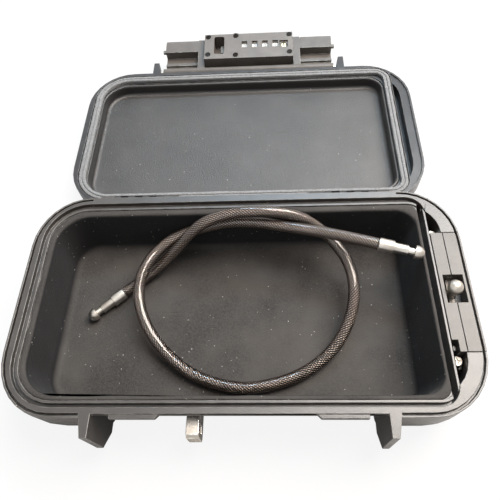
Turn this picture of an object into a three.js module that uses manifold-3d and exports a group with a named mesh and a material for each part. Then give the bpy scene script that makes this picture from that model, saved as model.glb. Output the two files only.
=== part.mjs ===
// Portable car safe with its lid open: two moulded shells with foam liners, a folding
// combination latch, a cable lock in the side wall and a loose security cable.
// Millimetres, +Z up, +X to the right, the front with the latch faces -Y.
// The origin is the middle of the base's underside.

import * as THREE from 'three';
import { mergeVertices } from 'three/addons/utils/BufferGeometryUtils.js';
import Module from 'manifold-3d';

const wasm = await Module();
wasm.setup();

// Sizes that several pieces share
const gap = 0.3;
const overrun = 6;

// Base shell
const base = {
  width: 240,
  depth: 128,
  height: 40.5,
  cornerX: 29.6,
  cornerY: 32.6,
  uprightHeight: 8,
  bottomInset: 9,
  lip: 1,
  lipGroove: 1.1,
  lipGrooveDepth: 2.4,
  flangeLeft: 5.3,
  flangeFront: 4.9,
  flangeBack: 4.5,
  channelDepth: 3,
  stepDepth: 1,
};

// Seal: the tongue round the main compartment, whose right run is the divider
const seal = {
  left: 8.65,
  right: 16.7,
  front: 7.4,
  back: 8.5,
  cornerLeft: 21,
  cornerRight: 9,
  tongue: 1.4,
};

// Foam liner of the base, by the insets of its inner edge from the base's outline
const tray = {
  left: 13.3,
  right: 22.3,
  front: 10.7,
  back: 13.5,
  cornerLeft: 18,
  cornerRight: 10.5,
  top: 0.9,
  floorHeight: 9.2,
  wall: 2.2,
  draft: 1.5,
  draftRight: 5,
  sideSlotDepth: 9,
};

// How far the lid's outline lies inside the base's
const lidInset = {
  side: 2,
  front: 1.8,
};

// Lid shell
const lid = {
  width: base.width - 2 * lidInset.side,
  depth: base.depth - 2 * lidInset.front,
  height: 19.1,
  cornerX: 30.7,
  cornerY: 32.3,
  uprightHeight: 9,
  topInset: 6,
  ledge: 2.7,
  recessStart: 0.6,
  recessLip: 1.5,
  recessStep: 5.5,
  recessStepDepth: 1.2,
  recessDepth: 8,
};

// Foam liner of the lid, by the insets of its inner edge from the lid's outline
const lidTray = {
  left: 10.4,
  right: 19.2,
  front: 11.1,
  back: 10.7,
  cornerLeft: 17,
  cornerRight: 11,
  floor: 11,
  wall: 2.2,
};

// Gasket in the lid, over the seal
const gasket = {
  width: 4.8,
  height: 2.4,
  imprint: 0.8,
  imprintDepth: 0.8,
};

// Hinges at the back, a pair set alike to the left and right
const hinge = {
  behind: 4.26,
  barrel: 3.9,
  pin: 1.5,
  fromSide: 31.6,
  innerKnuckle: 9,
  barrelLength: 30.6,
  outerKnuckle: 8,
  sideGap: 0.4,
  seat: 2,
  lipStop: 1.2,
  armHeight: 9,
  armSeat: 1.2,
  windowWidth: 4.8,
  windowPitch: 8.9,
  windowHalf: 2.2,
};

// Fins on the base that guard the ends of the closed latch
const fin = {
  fromSide: 50.3,
  rootWidth: 5.8,
  tipWidth: 3.5,
  reach: 9.2,
  tipFoot: 13.5,
  rootFoot: 3.5,
  root: 8,
};

// Front of the base behind the latch
const front = {
  setback: 1.7,
  moduleGap: 1.4,
  seatEnd: 8.7,
  seatProud: 0.3,
  seatDrop: 0.4,
  chamfer: 2.5,
  lipThickness: 3.5,
  bayDepth: 6,
  bayFootDepth: 9.5,
};

// Lugs on the lid that carry the latch
const lug = {
  endGap: 1.4,
  rootWidth: 6.5,
  tipWidth: 4,
  reach: 11.5,
  tipHeight: 6,
  slopeLength: 4,
  shoulderHeight: 11,
  rootHeight: 14,
  root: 3,
};

// Folding latch, by depth towards the case and drop from its hinge line
const latch = {
  ahead: 3.3,
  rise: 3.1,
  openAngle: 82,
  barrel: 3,
  pin: 1.5,
  pinGrip: 8,
  endGap: 4.1,
  face: 0.7,
  lead: 2.3,
  thickness: 8.8,
  plate: 2,
  top: 4.7,
  topPlate: 1.8,
  farEdge: 29.4,
  farRebate: 27.3,
  rebateDepth: 0.6,
  ridgeFar: 20,
  ridgeNear: 17.6,
  ridgeHeight: 2.4,
  ridgeOverhang: 1.9,
  ribFar: 10.8,
  ribNear: 8.6,
  ribHeight: 1.6,
  railWidth: 5.4,
};

// Lock module in the middle of the latch, measured from the latch's centre plane
const lock = {
  left: -33.8,
  right: 35.1,
  near: 5,
  far: 29.5,
  plateFace: 5,
  plate: 1,
  slotCentre: -22.3,
  slotWidth: 8,
  slotCorner: 1.6,
  slotNear: 9.7,
  slotFar: 27,
  outerWall: 2.2,
  codeWindowLeft: 24.6,
  codeWindowRight: 31.4,
  codeWindowNear: 14.3,
  codeWindowFar: 21.2,
};

// Number dials and their shaft
const dial = {
  count: 4,
  first: -2.5,
  pitch: 8,
  radius: 6.8,
  width: 6,
  drop: 18.3,
  depth: -3.1,
  figures: 10,
  valley: 0.6,
  shaft: 1.5,
  shaftLeft: -7,
  shaftRight: 29,
  windowWidth: 4.3,
  windowHeight: 6.5,
};

// Bolt, its spring and the release button
const bolt = {
  tip: 0.7,
  length: 7.6,
  front: -2.7,
  back: 0.3,
  height: 6.6,
  travel: 3,
  channelEnd: -8,
  stemWidth: 3,
  stemHeight: 2.4,
  buttonWidth: 10,
  buttonHeight: 9,
  buttonProud: 1.5,
  ribs: 4,
  ribWidth: 0.8,
  ribHeight: 0.4,
  springRadius: 1.2,
  springWire: 0.4,
  springCurls: 3,
};

// Code-change screw
const codeScrew = {
  across: 28,
  drop: 17.8,
  radius: 2.25,
  top: 3.4,
  height: 4,
  slotWidth: 0.7,
  slotDepth: 0.8,
};

// Small screws of the lock's back plate, as places across and down the plate
const plateScrew = {
  head: 2,
  headHeight: 0.4,
  shank: 0.9,
  shankLength: 5,
  seatDepth: 0.7,
  boss: 3.1,
  edgeAcross: 2.7,
  middle: -9.4,
  farInset: 2.5,
  nearInset: 4.5,
  middleFarInset: 2.1,
  middleNearInset: 3.2,
};

// Staple on the base that the bolt holds
const staple = {
  width: 6.4,
  top: 10.2,
  bottom: 24.5,
  tip: 6.6,
  notchDepth: 3,
  tipChamfer: 1.6,
  footWidth: 15.4,
  footMargin: 2,
  foot: 0.6,
  footPocket: 1,
};

// Cable lock in the right side wall
const cableLock = {
  fromFront: 30.9,
  fromBack: 29.3,
  depth: 26,
  seamInset: 9.1,
  pocketInset: 9.8,
  pocketFromFront: 15.1,
  pocketFromBack: 14.7,
  pocketBend: 5.7,
  earLength: 6.3,
  earThickness: 3.2,
  earDrop: 8.3,
  earScrew: 2.75,
  windowInner: 13.7,
  windowOuter: 3.5,
  windowFront: -7.2,
  windowBack: 8.7,
  windowDepth: 9,
  notchWidth: 3,
  notchLength: 6,
  peg: 1.4,
  pegDrop: 4,
  floor: 1,
};

// Ports for the cable heads and the fork that holds them
const port = {
  spacing: 24,
  drop: 13.5,
  radius: 4.2,
  end: 14.5,
  forkWidth: 37,
  fork: 3,
  forkTop: 3.5,
  forkMiddle: 7,
  forkBottom: 9.2,
  slot: 4.8,
};

// Ball-headed plunger that the closing lid presses down
const plunger = {
  inset: 9,
  along: 0.5,
  ball: 4,
  rise: 1.5,
  stem: 2.7,
  springRadius: 2.2,
  springWire: 0.6,
  springCurls: 6,
};

// Screws of the cable lock
const earScrew = {
  head: 2.4,
  headHeight: 2,
  shank: 1.4,
  shankLength: 12,
  crossWidth: 0.7,
  crossLength: 2.8,
  crossDepth: 1,
};

// Security cable and the fittings swaged on its ends
const cable = {
  diameter: 6.5,
  sides: 10,
  steps: 80,
};
const ferrule = {
  sleeve: 3.6,
  sleeveLength: 8,
  body: 2.8,
  bodyLength: 7.6,
  neck: 2,
  neckLength: 3.4,
  head: 3.8,
  headLength: 5,
  bevel: 0.6,
};

// Points of an outline that lie closer than this are one point
const closeness = 0.001;

// Number of straight steps that stand in for round shapes
const cornerSteps = 4;
const edgeSteps = 5;
const roundSides = 20;
const smallSides = 10;

// Route of the cable's centre line, from the left fitting to the right one
const cableRoute = [
  [-71.2, 13.8, 13.4],
  [-64.0, 19.8, 13.2],
  [-56.2, 26.0, 15.0],
  [-47.2, 31.4, 19.8],
  [-38.2, 35.8, 28.2],
  [-29.8, 39.6, 37.0],
  [-21.0, 42.8, 43.2],
  [-7.0, 45.8, 46.8],
  [7.7, 46.5, 47.6],
  [22.3, 46.4, 46.2],
  [34.0, 46.0, 41.2],
  [45.0, 42.2, 34.6],
  [53.4, 34.6, 30.6],
  [60.0, 23.2, 28.0],
  [62.2, 10.0, 25.6],
  [60.8, -1.6, 22.2],
  [55.7, -13.9, 18.5],
  [46.5, -25.5, 15.0],
  [32.5, -35.2, 13.2],
  [17.0, -40.8, 12.9],
  [1.8, -43.0, 12.9],
  [-13.5, -40.6, 12.9],
  [-29.5, -34.1, 13.6],
  [-44.3, -22.0, 16.2],
  [-55.0, -7.1, 20.0],
  [-59.4, 9.0, 23.6],
  [-57.4, 22.4, 25.8],
  [-50.0, 35.2, 26.6],
  [-38.6, 44.0, 27.8],
  [-22.6, 46.2, 33.0],
  [-8.0, 46.2, 37.6],
  [6.0, 45.0, 39.4],
  [22.2, 41.4, 40.6],
  [33.2, 38.6, 41.4],
  [46.0, 35.4, 42.2],
  [60.5, 31.1, 42.9],
  [74.7, 26.5, 43.5],
];
const leftTip = [-88.0, -1.0, 13.4];
const rightTip = [98.2, 19.2, 43.9];

// Places worked out from the sizes above
const rim = base.height;
const lidRim = rim + gap;
const hingeY = base.depth / 2 + hinge.behind;
const hingeZ = (lidRim + lid.height) / 2;
const latchY = -lid.depth / 2 - latch.ahead;
const latchZ = lidRim + latch.rise;
const latchFaceY = latchY + latch.face;
const latchLineZ = latchZ - latch.lead;
const dividerX = base.width / 2 - seal.right;
const lockOuterFace = -latch.thickness;
const lockInnerFace = lock.plateFace - lock.plate - gap;
const stapleX = lock.slotCentre;
const wallFront = -base.depth / 2;
const finInner = base.width / 2 - fin.fromSide;
const latchHalf = finInner - latch.endGap;
const lugInner = latchHalf + lug.endGap;
const seatInner = lock.right + front.moduleGap;
const seatOuter = finInner - front.seatEnd;
const lockFront = wallFront + cableLock.fromFront;
const lockBack = -wallFront - cableLock.fromBack;
const plungerX = base.width / 2 - plunger.inset;
const bayY = wallFront + front.bayDepth;
const tubFrontY = wallFront + tray.front - tray.wall - gap;
const lockX = base.width / 2 - cableLock.seamInset;
const lockInnerX = dividerX + seal.tongue / 2 + gap;
const plungerTravel = plunger.rise + plunger.ball - lid.recessStepDepth + gap / 2;

// Materials, coloured as in the photograph
function plastic(color, roughness) {
  return new THREE.MeshStandardMaterial({ color, roughness, metalness: 0 });
}

function metal(color, roughness) {
  return new THREE.MeshStandardMaterial({ color, roughness, metalness: 1 });
}

const shellPlastic = () => plastic(0x1c1a19, 0.55);
const lockPlastic = () => plastic(0x242221, 0.5);
const dialPlastic = () => plastic(0xe6e3dc, 0.4);
const foam = () => plastic(0x2c2b2b, 0.95);
const rubber = () => plastic(0x35373a, 0.8);
const steel = () => metal(0xb9b6b0, 0.3);
const blackSteel = () => metal(0x2b2a29, 0.45);
const brass = () => metal(0xb48a4a, 0.35);
const cableVinyl = () => plastic(0x2a2725, 0.2);

// Turning three.js geometry into solids that can be joined and cut, and back
function solid(geometry) {
  const bare = geometry.clone();
  bare.deleteAttribute('normal');
  bare.deleteAttribute('uv');
  const merged = mergeVertices(bare);
  const vertProperties = new Float32Array(merged.attributes.position.array);
  const triVerts = new Uint32Array(merged.index.array);
  return new wasm.Manifold(new wasm.Mesh({ numProp: 3, vertProperties, triVerts }));
}

function joined(first, ...others) {
  return others.reduce((whole, other) => whole.add(other), first);
}

function cut(whole, ...tools) {
  return tools.reduce((rest, tool) => rest.subtract(tool), whole);
}

function piece(name, shape, material) {
  const { vertProperties, triVerts } = shape.getMesh();
  const geometry = new THREE.BufferGeometry();
  geometry.setAttribute('position', new THREE.BufferAttribute(vertProperties, 3));
  geometry.setIndex(new THREE.BufferAttribute(triVerts, 1));
  geometry.computeVertexNormals();
  const mesh = new THREE.Mesh(geometry, material);
  mesh.name = name;
  return mesh;
}

// Plain solids by their limits
function block(x0, x1, y0, y1, z0, z1) {
  const geometry = new THREE.BoxGeometry(x1 - x0, y1 - y0, z1 - z0);
  geometry.translate((x0 + x1) / 2, (y0 + y1) / 2, (z0 + z1) / 2);
  return solid(geometry);
}

function post(radius, x, y, z0, z1, sides = smallSides) {
  const geometry = new THREE.CylinderGeometry(radius, radius, z1 - z0, sides);
  geometry.rotateX(Math.PI / 2);
  geometry.translate(x, y, (z0 + z1) / 2);
  return solid(geometry);
}

function rod(radius, y, z, x0, x1, sides = smallSides) {
  const geometry = new THREE.CylinderGeometry(radius, radius, x1 - x0, sides);
  geometry.rotateZ(Math.PI / 2);
  geometry.translate((x0 + x1) / 2, y, z);
  return solid(geometry);
}

function stud(radius, x, z, y0, y1, sides = smallSides) {
  const geometry = new THREE.CylinderGeometry(radius, radius, y1 - y0, sides);
  geometry.translate(x, (y0 + y1) / 2, z);
  return solid(geometry);
}

function prism(shape, z0, z1) {
  const options = { depth: z1 - z0, bevelEnabled: false, curveSegments: cornerSteps };
  const geometry = new THREE.ExtrudeGeometry(shape, options);
  geometry.translate(0, 0, z0);
  return solid(geometry);
}

function polygon(points) {
  return new THREE.Shape(points.map(([x, y]) => new THREE.Vector2(x, y)));
}

// An outline across Y and Z, drawn out along X
const alongX = new THREE.Matrix4().makeBasis(
  new THREE.Vector3(0, 1, 0),
  new THREE.Vector3(0, 0, 1),
  new THREE.Vector3(1, 0, 0),
);

function slab(points, x0, x1) {
  const options = { depth: x1 - x0, bevelEnabled: false };
  const geometry = new THREE.ExtrudeGeometry(polygon(points), options);
  geometry.translate(0, 0, x0);
  geometry.applyMatrix4(alongX);
  return solid(geometry);
}

// A rectangle with elliptical corners, whose left and right corners may differ
function outline({ left, right, front: near, back, leftX, leftY, rightX, rightY }) {
  const quarter = Math.PI / 2;
  const shape = new THREE.Shape();
  shape.moveTo(left + leftX, near);
  shape.lineTo(right - rightX, near);
  shape.absellipse(right - rightX, near + rightY, rightX, rightY, -quarter, 0, false);
  shape.lineTo(right, back - rightY);
  shape.absellipse(right - rightX, back - rightY, rightX, rightY, 0, quarter, false);
  shape.lineTo(left + leftX, back);
  shape.absellipse(left + leftX, back - leftY, leftX, leftY, quarter, 2 * quarter, false);
  shape.lineTo(left, near + leftY);
  shape.absellipse(left + leftX, near + leftY, leftX, leftY, 2 * quarter, 3 * quarter, false);
  return shape;
}

function insetOutline({ width, depth, cornerX, cornerY }, inset) {
  return outline({
    left: -width / 2 + inset,
    right: width / 2 - inset,
    front: -depth / 2 + inset,
    back: depth / 2 - inset,
    leftX: cornerX - inset,
    leftY: cornerY - inset,
    rightX: cornerX - inset,
    rightY: cornerY - inset,
  });
}

// The seal's centre line, moved outwards by an offset
function sealOutline(offset) {
  return outline({
    left: -base.width / 2 + seal.left - offset,
    right: dividerX + offset,
    front: -base.depth / 2 + seal.front - offset,
    back: base.depth / 2 - seal.back + offset,
    leftX: seal.cornerLeft + offset,
    leftY: seal.cornerLeft + offset,
    rightX: seal.cornerRight + offset,
    rightY: seal.cornerRight + offset,
  });
}

// A liner's outline moved outwards by an offset and drawn in by its draft
function linerOutline(body, liner, offset, draft = 0, draftRight = 0) {
  return outline({
    left: -body.width / 2 + liner.left - offset + draft,
    right: body.width / 2 - liner.right + offset - draftRight,
    front: -body.depth / 2 + liner.front - offset + draft,
    back: body.depth / 2 - liner.back + offset - draft,
    leftX: liner.cornerLeft + offset - draft,
    leftY: liner.cornerLeft + offset - draft,
    rightX: liner.cornerRight + offset - draft,
    rightY: liner.cornerRight + offset - draft,
  });
}

function distinct(points) {
  return points.filter((point, place) => point.distanceTo(points.at(place - 1)) > closeness);
}

// A closed skin through outlines stacked from the lowest to the highest
function loft(levels) {
  const rings = levels.map(({ shape }) => distinct(shape.getPoints(cornerSteps)));
  const count = rings[0].length;
  const positions = rings.flatMap((ring, level) =>
    ring.flatMap((point) => [point.x, point.y, levels[level].z]));
  const index = [];
  for (let level = 0; level + 1 < rings.length; level += 1) {
    for (let corner = 0; corner < count; corner += 1) {
      const next = (corner + 1) % count;
      const low = level * count;
      const high = low + count;
      index.push(low + corner, low + next, high + next);
      index.push(low + corner, high + next, high + corner);
    }
  }
  const last = (rings.length - 1) * count;
  for (const [a, b, c] of THREE.ShapeUtils.triangulateShape(rings[0], [])) {
    index.push(c, b, a);
  }
  for (const [a, b, c] of THREE.ShapeUtils.triangulateShape(rings.at(-1), [])) {
    index.push(last + a, last + b, last + c);
  }
  const geometry = new THREE.BufferGeometry();
  geometry.setAttribute('position', new THREE.Float32BufferAttribute(positions, 3));
  geometry.setIndex(index);
  return solid(geometry);
}

// A case half whose far edge is rounded in, from its closed face to its rim
function caseBody(body, curveHeight, curveInset, openEnd, closedEnd) {
  const upwards = Math.sign(openEnd - closedEnd);
  const levels = [];
  for (let step = 0; step <= edgeSteps; step += 1) {
    const angle = (1 - step / edgeSteps) * Math.PI / 2;
    const inset = curveInset * (1 - Math.cos(angle));
    const z = closedEnd + upwards * curveHeight * (1 - Math.sin(angle));
    levels.push({ shape: insetOutline(body, inset), z });
  }
  levels.push({ shape: insetOutline(body, 0), z: openEnd });
  return loft(upwards > 0 ? levels : levels.reverse());
}

function baseBody() {
  return caseBody(base, base.height - base.uprightHeight, base.bottomInset, rim, 0);
}

// Groove just inside the base's outer edge, left out at the fins and the hinges
function lipGroove() {
  const top = rim + overrun;
  const bottom = rim - base.lipGrooveDepth;
  const outer = prism(insetOutline(base, base.lip), bottom, top);
  const inner = prism(insetOutline(base, base.lip + base.lipGroove), bottom - overrun, top + overrun);
  const finX = finInner + fin.rootWidth;
  const frontStretch = block(-finX, finX, wallFront - overrun, 0, bottom - overrun, top + overrun);
  const hingeX = hingeStations().end + hinge.lipStop;
  const backStretch = block(-hingeX, hingeX, 0, -wallFront + overrun, bottom - overrun, top + overrun);
  return cut(outer, inner, frontStretch, backStretch);
}

// Inner edge of the flange
function flangeOutline() {
  const half = base.width / 2;
  const corner = seal.cornerLeft + seal.left - base.flangeLeft;
  return outline({
    left: -half + base.flangeLeft,
    right: dividerX + seal.tongue / 2 - gap,
    front: wallFront + base.flangeFront,
    back: -wallFront - base.flangeBack,
    leftX: corner,
    leftY: corner,
    rightX: seal.cornerRight + seal.tongue,
    rightY: seal.cornerRight + seal.tongue,
  });
}

// Channel between the flange and the tongue
function sealChannel() {
  const bottom = rim - base.channelDepth;
  const tongue = prism(sealOutline(seal.tongue / 2), bottom - overrun, rim + 2 * overrun);
  return cut(prism(flangeOutline(), bottom, rim + overrun), tongue);
}

function baseTub() {
  const offset = tray.wall + gap;
  const low = linerOutline(base, tray, offset, tray.draft, tray.draftRight);
  const high = linerOutline(base, tray, offset);
  return loft([
    { shape: low, z: tray.floorHeight - tray.wall - gap },
    { shape: high, z: rim - tray.top },
    { shape: high, z: rim + overrun },
  ]);
}

// Deep slot between the foam's right edge and the divider, which runs into the channel
function dividerSlot() {
  const x0 = base.width / 2 - tray.right + tray.wall;
  const x1 = dividerX - seal.tongue / 2;
  const limits = block(x0, x1, wallFront, -wallFront, 0, rim + 2 * overrun);
  return prism(flangeOutline(), rim - tray.sideSlotDepth, rim + overrun).intersect(limits);
}

// Pockets and cut-out for the cable lock
function cableLockPocket(inset) {
  const x0 = dividerX + seal.tongue / 2 + inset;
  const x1 = base.width / 2 - cableLock.pocketInset - inset;
  const y0 = wallFront + cableLock.pocketFromFront + inset;
  const y1 = -wallFront - cableLock.pocketFromBack - inset;
  const shape = new THREE.Shape();
  shape.moveTo(x0, y0);
  shape.quadraticCurveTo(x1, y0 + cableLock.pocketBend, x1, lockFront - gap);
  shape.lineTo(x1, lockBack + gap);
  shape.quadraticCurveTo(x1, y1 - cableLock.pocketBend, x0, y1);
  return shape;
}

function cableLockCuts() {
  const x0 = dividerX + seal.tongue / 2;
  const shallow = rim - cableLock.earDrop - cableLock.earThickness - gap;
  const deep = rim - cableLock.depth - gap;
  const pocket = cableLockPocket(0);
  const ears = block(x0, base.width, lockFront - cableLock.earLength - gap,
    lockBack + cableLock.earLength + gap, deep - overrun, rim + overrun);
  const ends = cut(prism(pocket, deep, rim + overrun), ears);
  const housing = block(x0, base.width / 2 + overrun, lockFront - gap, lockBack + gap,
    deep, rim + overrun);
  return joined(prism(pocket, shallow, rim + overrun), ends, housing);
}

function earScrewPlaces() {
  const x = (dividerX + seal.tongue / 2 + base.width / 2 - cableLock.pocketInset) / 2;
  return [lockFront - cableLock.earScrew, lockBack + cableLock.earScrew].map((y) => [x, y]);
}

function earScrewHoles(bottom, top) {
  return earScrewPlaces().map(([x, y]) => post(earScrew.shank + gap, x, y, bottom, top));
}

// Small peg that shows in the notch of the cable lock
function pegPlace() {
  const x = lockInnerX + cableLock.notchWidth / 2;
  return [x, lockFront + cableLock.notchLength / 2];
}

// Front of the base between the fins: the lip is set back, and under it is a bay for the
// closed latch and its lock, open at the bottom, whose wall slopes in below the staple
function lipSetback() {
  return block(-finInner, finInner, wallFront - overrun, wallFront + front.setback, fin.tipFoot, rim + overrun);
}

function latchBay() {
  return slab([
    [wallFront - overrun, -overrun],
    [wallFront + front.bayFootDepth, -overrun],
    [wallFront + front.bayFootDepth, 0],
    [bayY, rim - staple.bottom],
    [bayY, rim - front.lipThickness],
    [wallFront - overrun, rim - front.lipThickness],
  ], -finInner, finInner);
}

function latchSeats() {
  const y0 = wallFront - front.seatProud;
  const y1 = bayY;
  const inner = seatInner;
  const outer = seatOuter;
  const right = polygon([
    [inner, y1],
    [inner, y0 + front.chamfer],
    [inner + front.chamfer, y0],
    [outer, y0],
    [outer, y1],
  ]);
  const seat = prism(right, rim - front.lipThickness, rim - front.seatDrop);
  return joined(seat, seat.mirror([1, 0, 0]));
}

function guardFin() {
  const root = wallFront + fin.root;
  const tip = wallFront - fin.reach;
  const plan = prism(polygon([
    [finInner, root],
    [finInner, tip],
    [finInner + fin.tipWidth, tip],
    [finInner + fin.rootWidth, wallFront + front.setback],
    [finInner + fin.rootWidth, root],
  ]), fin.rootFoot, rim);
  const side = slab([
    [root, fin.rootFoot],
    [wallFront, fin.rootFoot],
    [tip, fin.tipFoot],
    [tip, rim],
    [root, rim],
  ], 0, base.width);
  return plan.intersect(side);
}

// Stations of one hinge along X
function hingeStations() {
  const end = base.width / 2 - hinge.fromSide;
  const outer0 = end - hinge.outerKnuckle;
  const barrel1 = outer0 - hinge.sideGap;
  const barrel0 = barrel1 - hinge.barrelLength;
  const inner = barrel0 - hinge.sideGap;
  return { start: inner - hinge.innerKnuckle, inner, barrel0, barrel1, outer0, end };
}

function baseKnuckle(x0, x1) {
  const y0 = -wallFront - hinge.seat;
  const foot = slab([
    [y0, hingeZ - 2 * hinge.barrel],
    [-wallFront, hingeZ - 2 * hinge.barrel],
    [hingeY + hinge.barrel, hingeZ],
    [hingeY, hingeZ + hinge.barrel],
    [y0, hingeZ + hinge.barrel],
  ], x0, x1);
  const eye = rod(hinge.barrel, hingeY, hingeZ, x0, x1, roundSides);
  const bore = rod(hinge.pin + gap, hingeY, hingeZ, x0 - overrun, x1 + overrun);
  return cut(joined(foot, eye), bore);
}

function baseKnuckles() {
  const at = hingeStations();
  const pair = joined(baseKnuckle(at.start, at.inner), baseKnuckle(at.outer0, at.end));
  return joined(pair, pair.mirror([1, 0, 0]));
}

// The staple's slot in the front wall and the seat of its foot
function stapleCuts() {
  const half = staple.width / 2 + gap;
  const top = rim - staple.top + gap;
  const bottom = rim - staple.bottom - gap;
  const slot = block(stapleX - half, stapleX + half, bayY - overrun, tubFrontY + overrun, bottom, top);
  const footHalf = staple.footWidth / 2 + gap;
  const margin = staple.footMargin;
  const pocket = block(stapleX - footHalf, stapleX + footHalf, tubFrontY - staple.footPocket,
    tubFrontY + overrun, bottom - margin, top + margin);
  return { slot, pocket };
}

function baseShell() {
  const { slot, pocket } = stapleCuts();
  const innerStep = prism(sealOutline(-seal.tongue / 2), rim - base.stepDepth, rim + overrun);
  const finned = joined(cut(baseBody(), lipSetback()), guardFin(), guardFin().mirror([1, 0, 0]), latchSeats());
  const shaped = cut(finned, latchBay(), lipGroove(), sealChannel(), innerStep, baseTub(), dividerSlot(),
    cableLockCuts(), slot, pocket, ...earScrewHoles(rim - cableLock.depth, rim));
  const [pegX, pegY] = pegPlace();
  const peg = post(cableLock.peg, pegX, pegY, rim - cableLock.depth - cableLock.floor,
    rim - cableLock.pegDrop, smallSides);
  return piece('base_shell', joined(shaped, baseKnuckles(), peg), shellPlastic());
}

function baseFoamLiner() {
  const outer = loft([
    {
      shape: linerOutline(base, tray, tray.wall, tray.draft, tray.draftRight),
      z: tray.floorHeight - tray.wall,
    },
    { shape: linerOutline(base, tray, tray.wall), z: rim - tray.top },
  ]);
  const inner = loft([
    { shape: linerOutline(base, tray, 0, tray.draft, tray.draftRight), z: tray.floorHeight },
    { shape: linerOutline(base, tray, 0), z: rim - tray.top },
    { shape: linerOutline(base, tray, 0), z: rim + overrun },
  ]);
  return piece('base_foam_liner', cut(outer, inner), foam());
}

function stapleBracket() {
  const half = staple.width / 2;
  const tip = latchFaceY - staple.tip + gap;
  const top = rim - staple.top;
  const bottom = rim - staple.bottom;
  const chamfer = staple.tipChamfer;
  const tongue = slab([
    [tubFrontY - staple.foot, bottom],
    [tip + chamfer, bottom],
    [tip, bottom + chamfer],
    [tip, top - chamfer],
    [tip + chamfer, top],
    [tubFrontY - staple.foot, top],
  ], stapleX - half, stapleX + half);
  const footHalf = staple.footWidth / 2;
  const foot = block(stapleX - footHalf, stapleX + footHalf, tubFrontY - staple.footPocket + gap,
    tubFrontY - staple.footPocket + gap + staple.foot, bottom - staple.footMargin, top + staple.footMargin);
  const boltZ = latchLineZ - dial.drop;
  const notch = block(stapleX + half - staple.notchDepth, stapleX + half + overrun,
    latchFaceY + bolt.front - gap, latchFaceY + bolt.back + gap,
    boltZ - bolt.height / 2 - gap, boltZ + bolt.height / 2 + gap);
  return piece('lock_staple', cut(joined(tongue, foot), notch), steel());
}

// Cable lock, inner and outer halves
function cableLockHollows() {
  const half = base.width / 2;
  const centre = plunger.along;
  const window = block(half - cableLock.windowInner, half - cableLock.windowOuter,
    cableLock.windowFront, cableLock.windowBack, rim - cableLock.windowDepth, rim + overrun);
  const bottom = rim - cableLock.depth + cableLock.floor;
  const chamberHalf = port.forkWidth / 2 + gap;
  const chamber = block(plungerX - port.fork / 2 - gap, plungerX + port.fork / 2 + gap,
    centre - chamberHalf, centre + chamberHalf, bottom, rim - port.forkTop + gap);
  const springWell = post(plunger.springRadius + plunger.springWire + gap, plungerX, centre,
    bottom, rim - port.forkMiddle);
  const bores = [-port.spacing / 2, port.spacing / 2].map((offset) => rod(port.radius,
    centre + offset, rim - port.drop, half - port.end, half + overrun, roundSides));
  return joined(window, chamber, springWell, ...bores);
}

function lockEars() {
  const top = rim - cableLock.earDrop;
  const bottom = top - cableLock.earThickness;
  const length = block(lockInnerX, lockX, lockFront - cableLock.earLength,
    lockBack + cableLock.earLength, bottom - overrun, rim);
  return prism(cableLockPocket(gap), bottom, top).intersect(length);
}

function cableLockInner() {
  const bottom = rim - cableLock.depth;
  const body = block(lockInnerX, lockX - gap / 2, lockFront, lockBack, bottom, rim);
  const notch = block(lockInnerX - overrun, lockInnerX + cableLock.notchWidth,
    lockFront - overrun, lockFront + cableLock.notchLength,
    bottom - overrun, rim + overrun);
  const eared = cut(joined(body, lockEars()), notch);
  const holes = earScrewHoles(bottom, rim);
  return piece('cable_lock_inner', cut(eared, cableLockHollows(), ...holes), lockPlastic());
}

function cableLockOuter() {
  const bottom = rim - cableLock.depth;
  const limits = block(lockX + gap / 2, base.width, lockFront, lockBack, bottom, rim);
  const body = baseBody().intersect(limits);
  return piece('cable_lock_outer', cut(body, lipGroove(), cableLockHollows()), lockPlastic());
}

function earScrews() {
  return earScrewPlaces().map(([x, y], side) => {
    const seat = rim - cableLock.earDrop + gap;
    const top = seat + earScrew.headHeight;
    const head = post(earScrew.head, x, y, seat, top, roundSides);
    const shank = post(earScrew.shank, x, y, seat - earScrew.shankLength, seat);
    const long = earScrew.crossLength / 2;
    const narrow = earScrew.crossWidth / 2;
    const low = top - earScrew.crossDepth;
    const cross = joined(
      block(x - long, x + long, y - narrow, y + narrow, low, top + overrun),
      block(x - narrow, x + narrow, y - long, y + long, low, top + overrun),
    );
    const name = side === 0 ? 'cable_lock_screw_front' : 'cable_lock_screw_back';
    return piece(name, cut(joined(head, shank), cross), steel());
  });
}

function cablePlunger() {
  const z = rim + plunger.rise;
  const ball = new THREE.SphereGeometry(plunger.ball, roundSides, smallSides);
  ball.rotateX(Math.PI / 2);
  ball.translate(plungerX, plunger.along, z);
  const stem = post(plunger.stem, plungerX, plunger.along, rim - port.forkMiddle + gap, z, roundSides);
  return piece('cable_plunger', joined(solid(ball), stem), steel());
}

// Fork plate under the plunger, whose slots come down over the necks of the cable heads
function cableFork() {
  const x0 = plungerX - port.fork / 2;
  const x1 = plungerX + port.fork / 2;
  const half = port.forkWidth / 2;
  const low = rim - port.forkBottom;
  const plate = block(x0, x1, plunger.along - half, plunger.along + half, low, rim - port.forkTop);
  const windowHalf = (cableLock.windowBack - cableLock.windowFront) / 2;
  const dip = block(x0 - overrun, x1 + overrun, plunger.along - windowHalf - gap,
    plunger.along + windowHalf + gap, rim - port.forkMiddle, rim);
  const slotTop = rim - port.drop + plungerTravel + port.slot / 2;
  const slots = [-port.spacing / 2, port.spacing / 2].map((offset) => {
    const y = plunger.along + offset;
    return block(x0 - overrun, x1 + overrun, y - port.slot / 2, y + port.slot / 2,
      low - overrun, slotTop);
  });
  return piece('cable_fork', cut(plate, dip, ...slots), steel());
}

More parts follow.
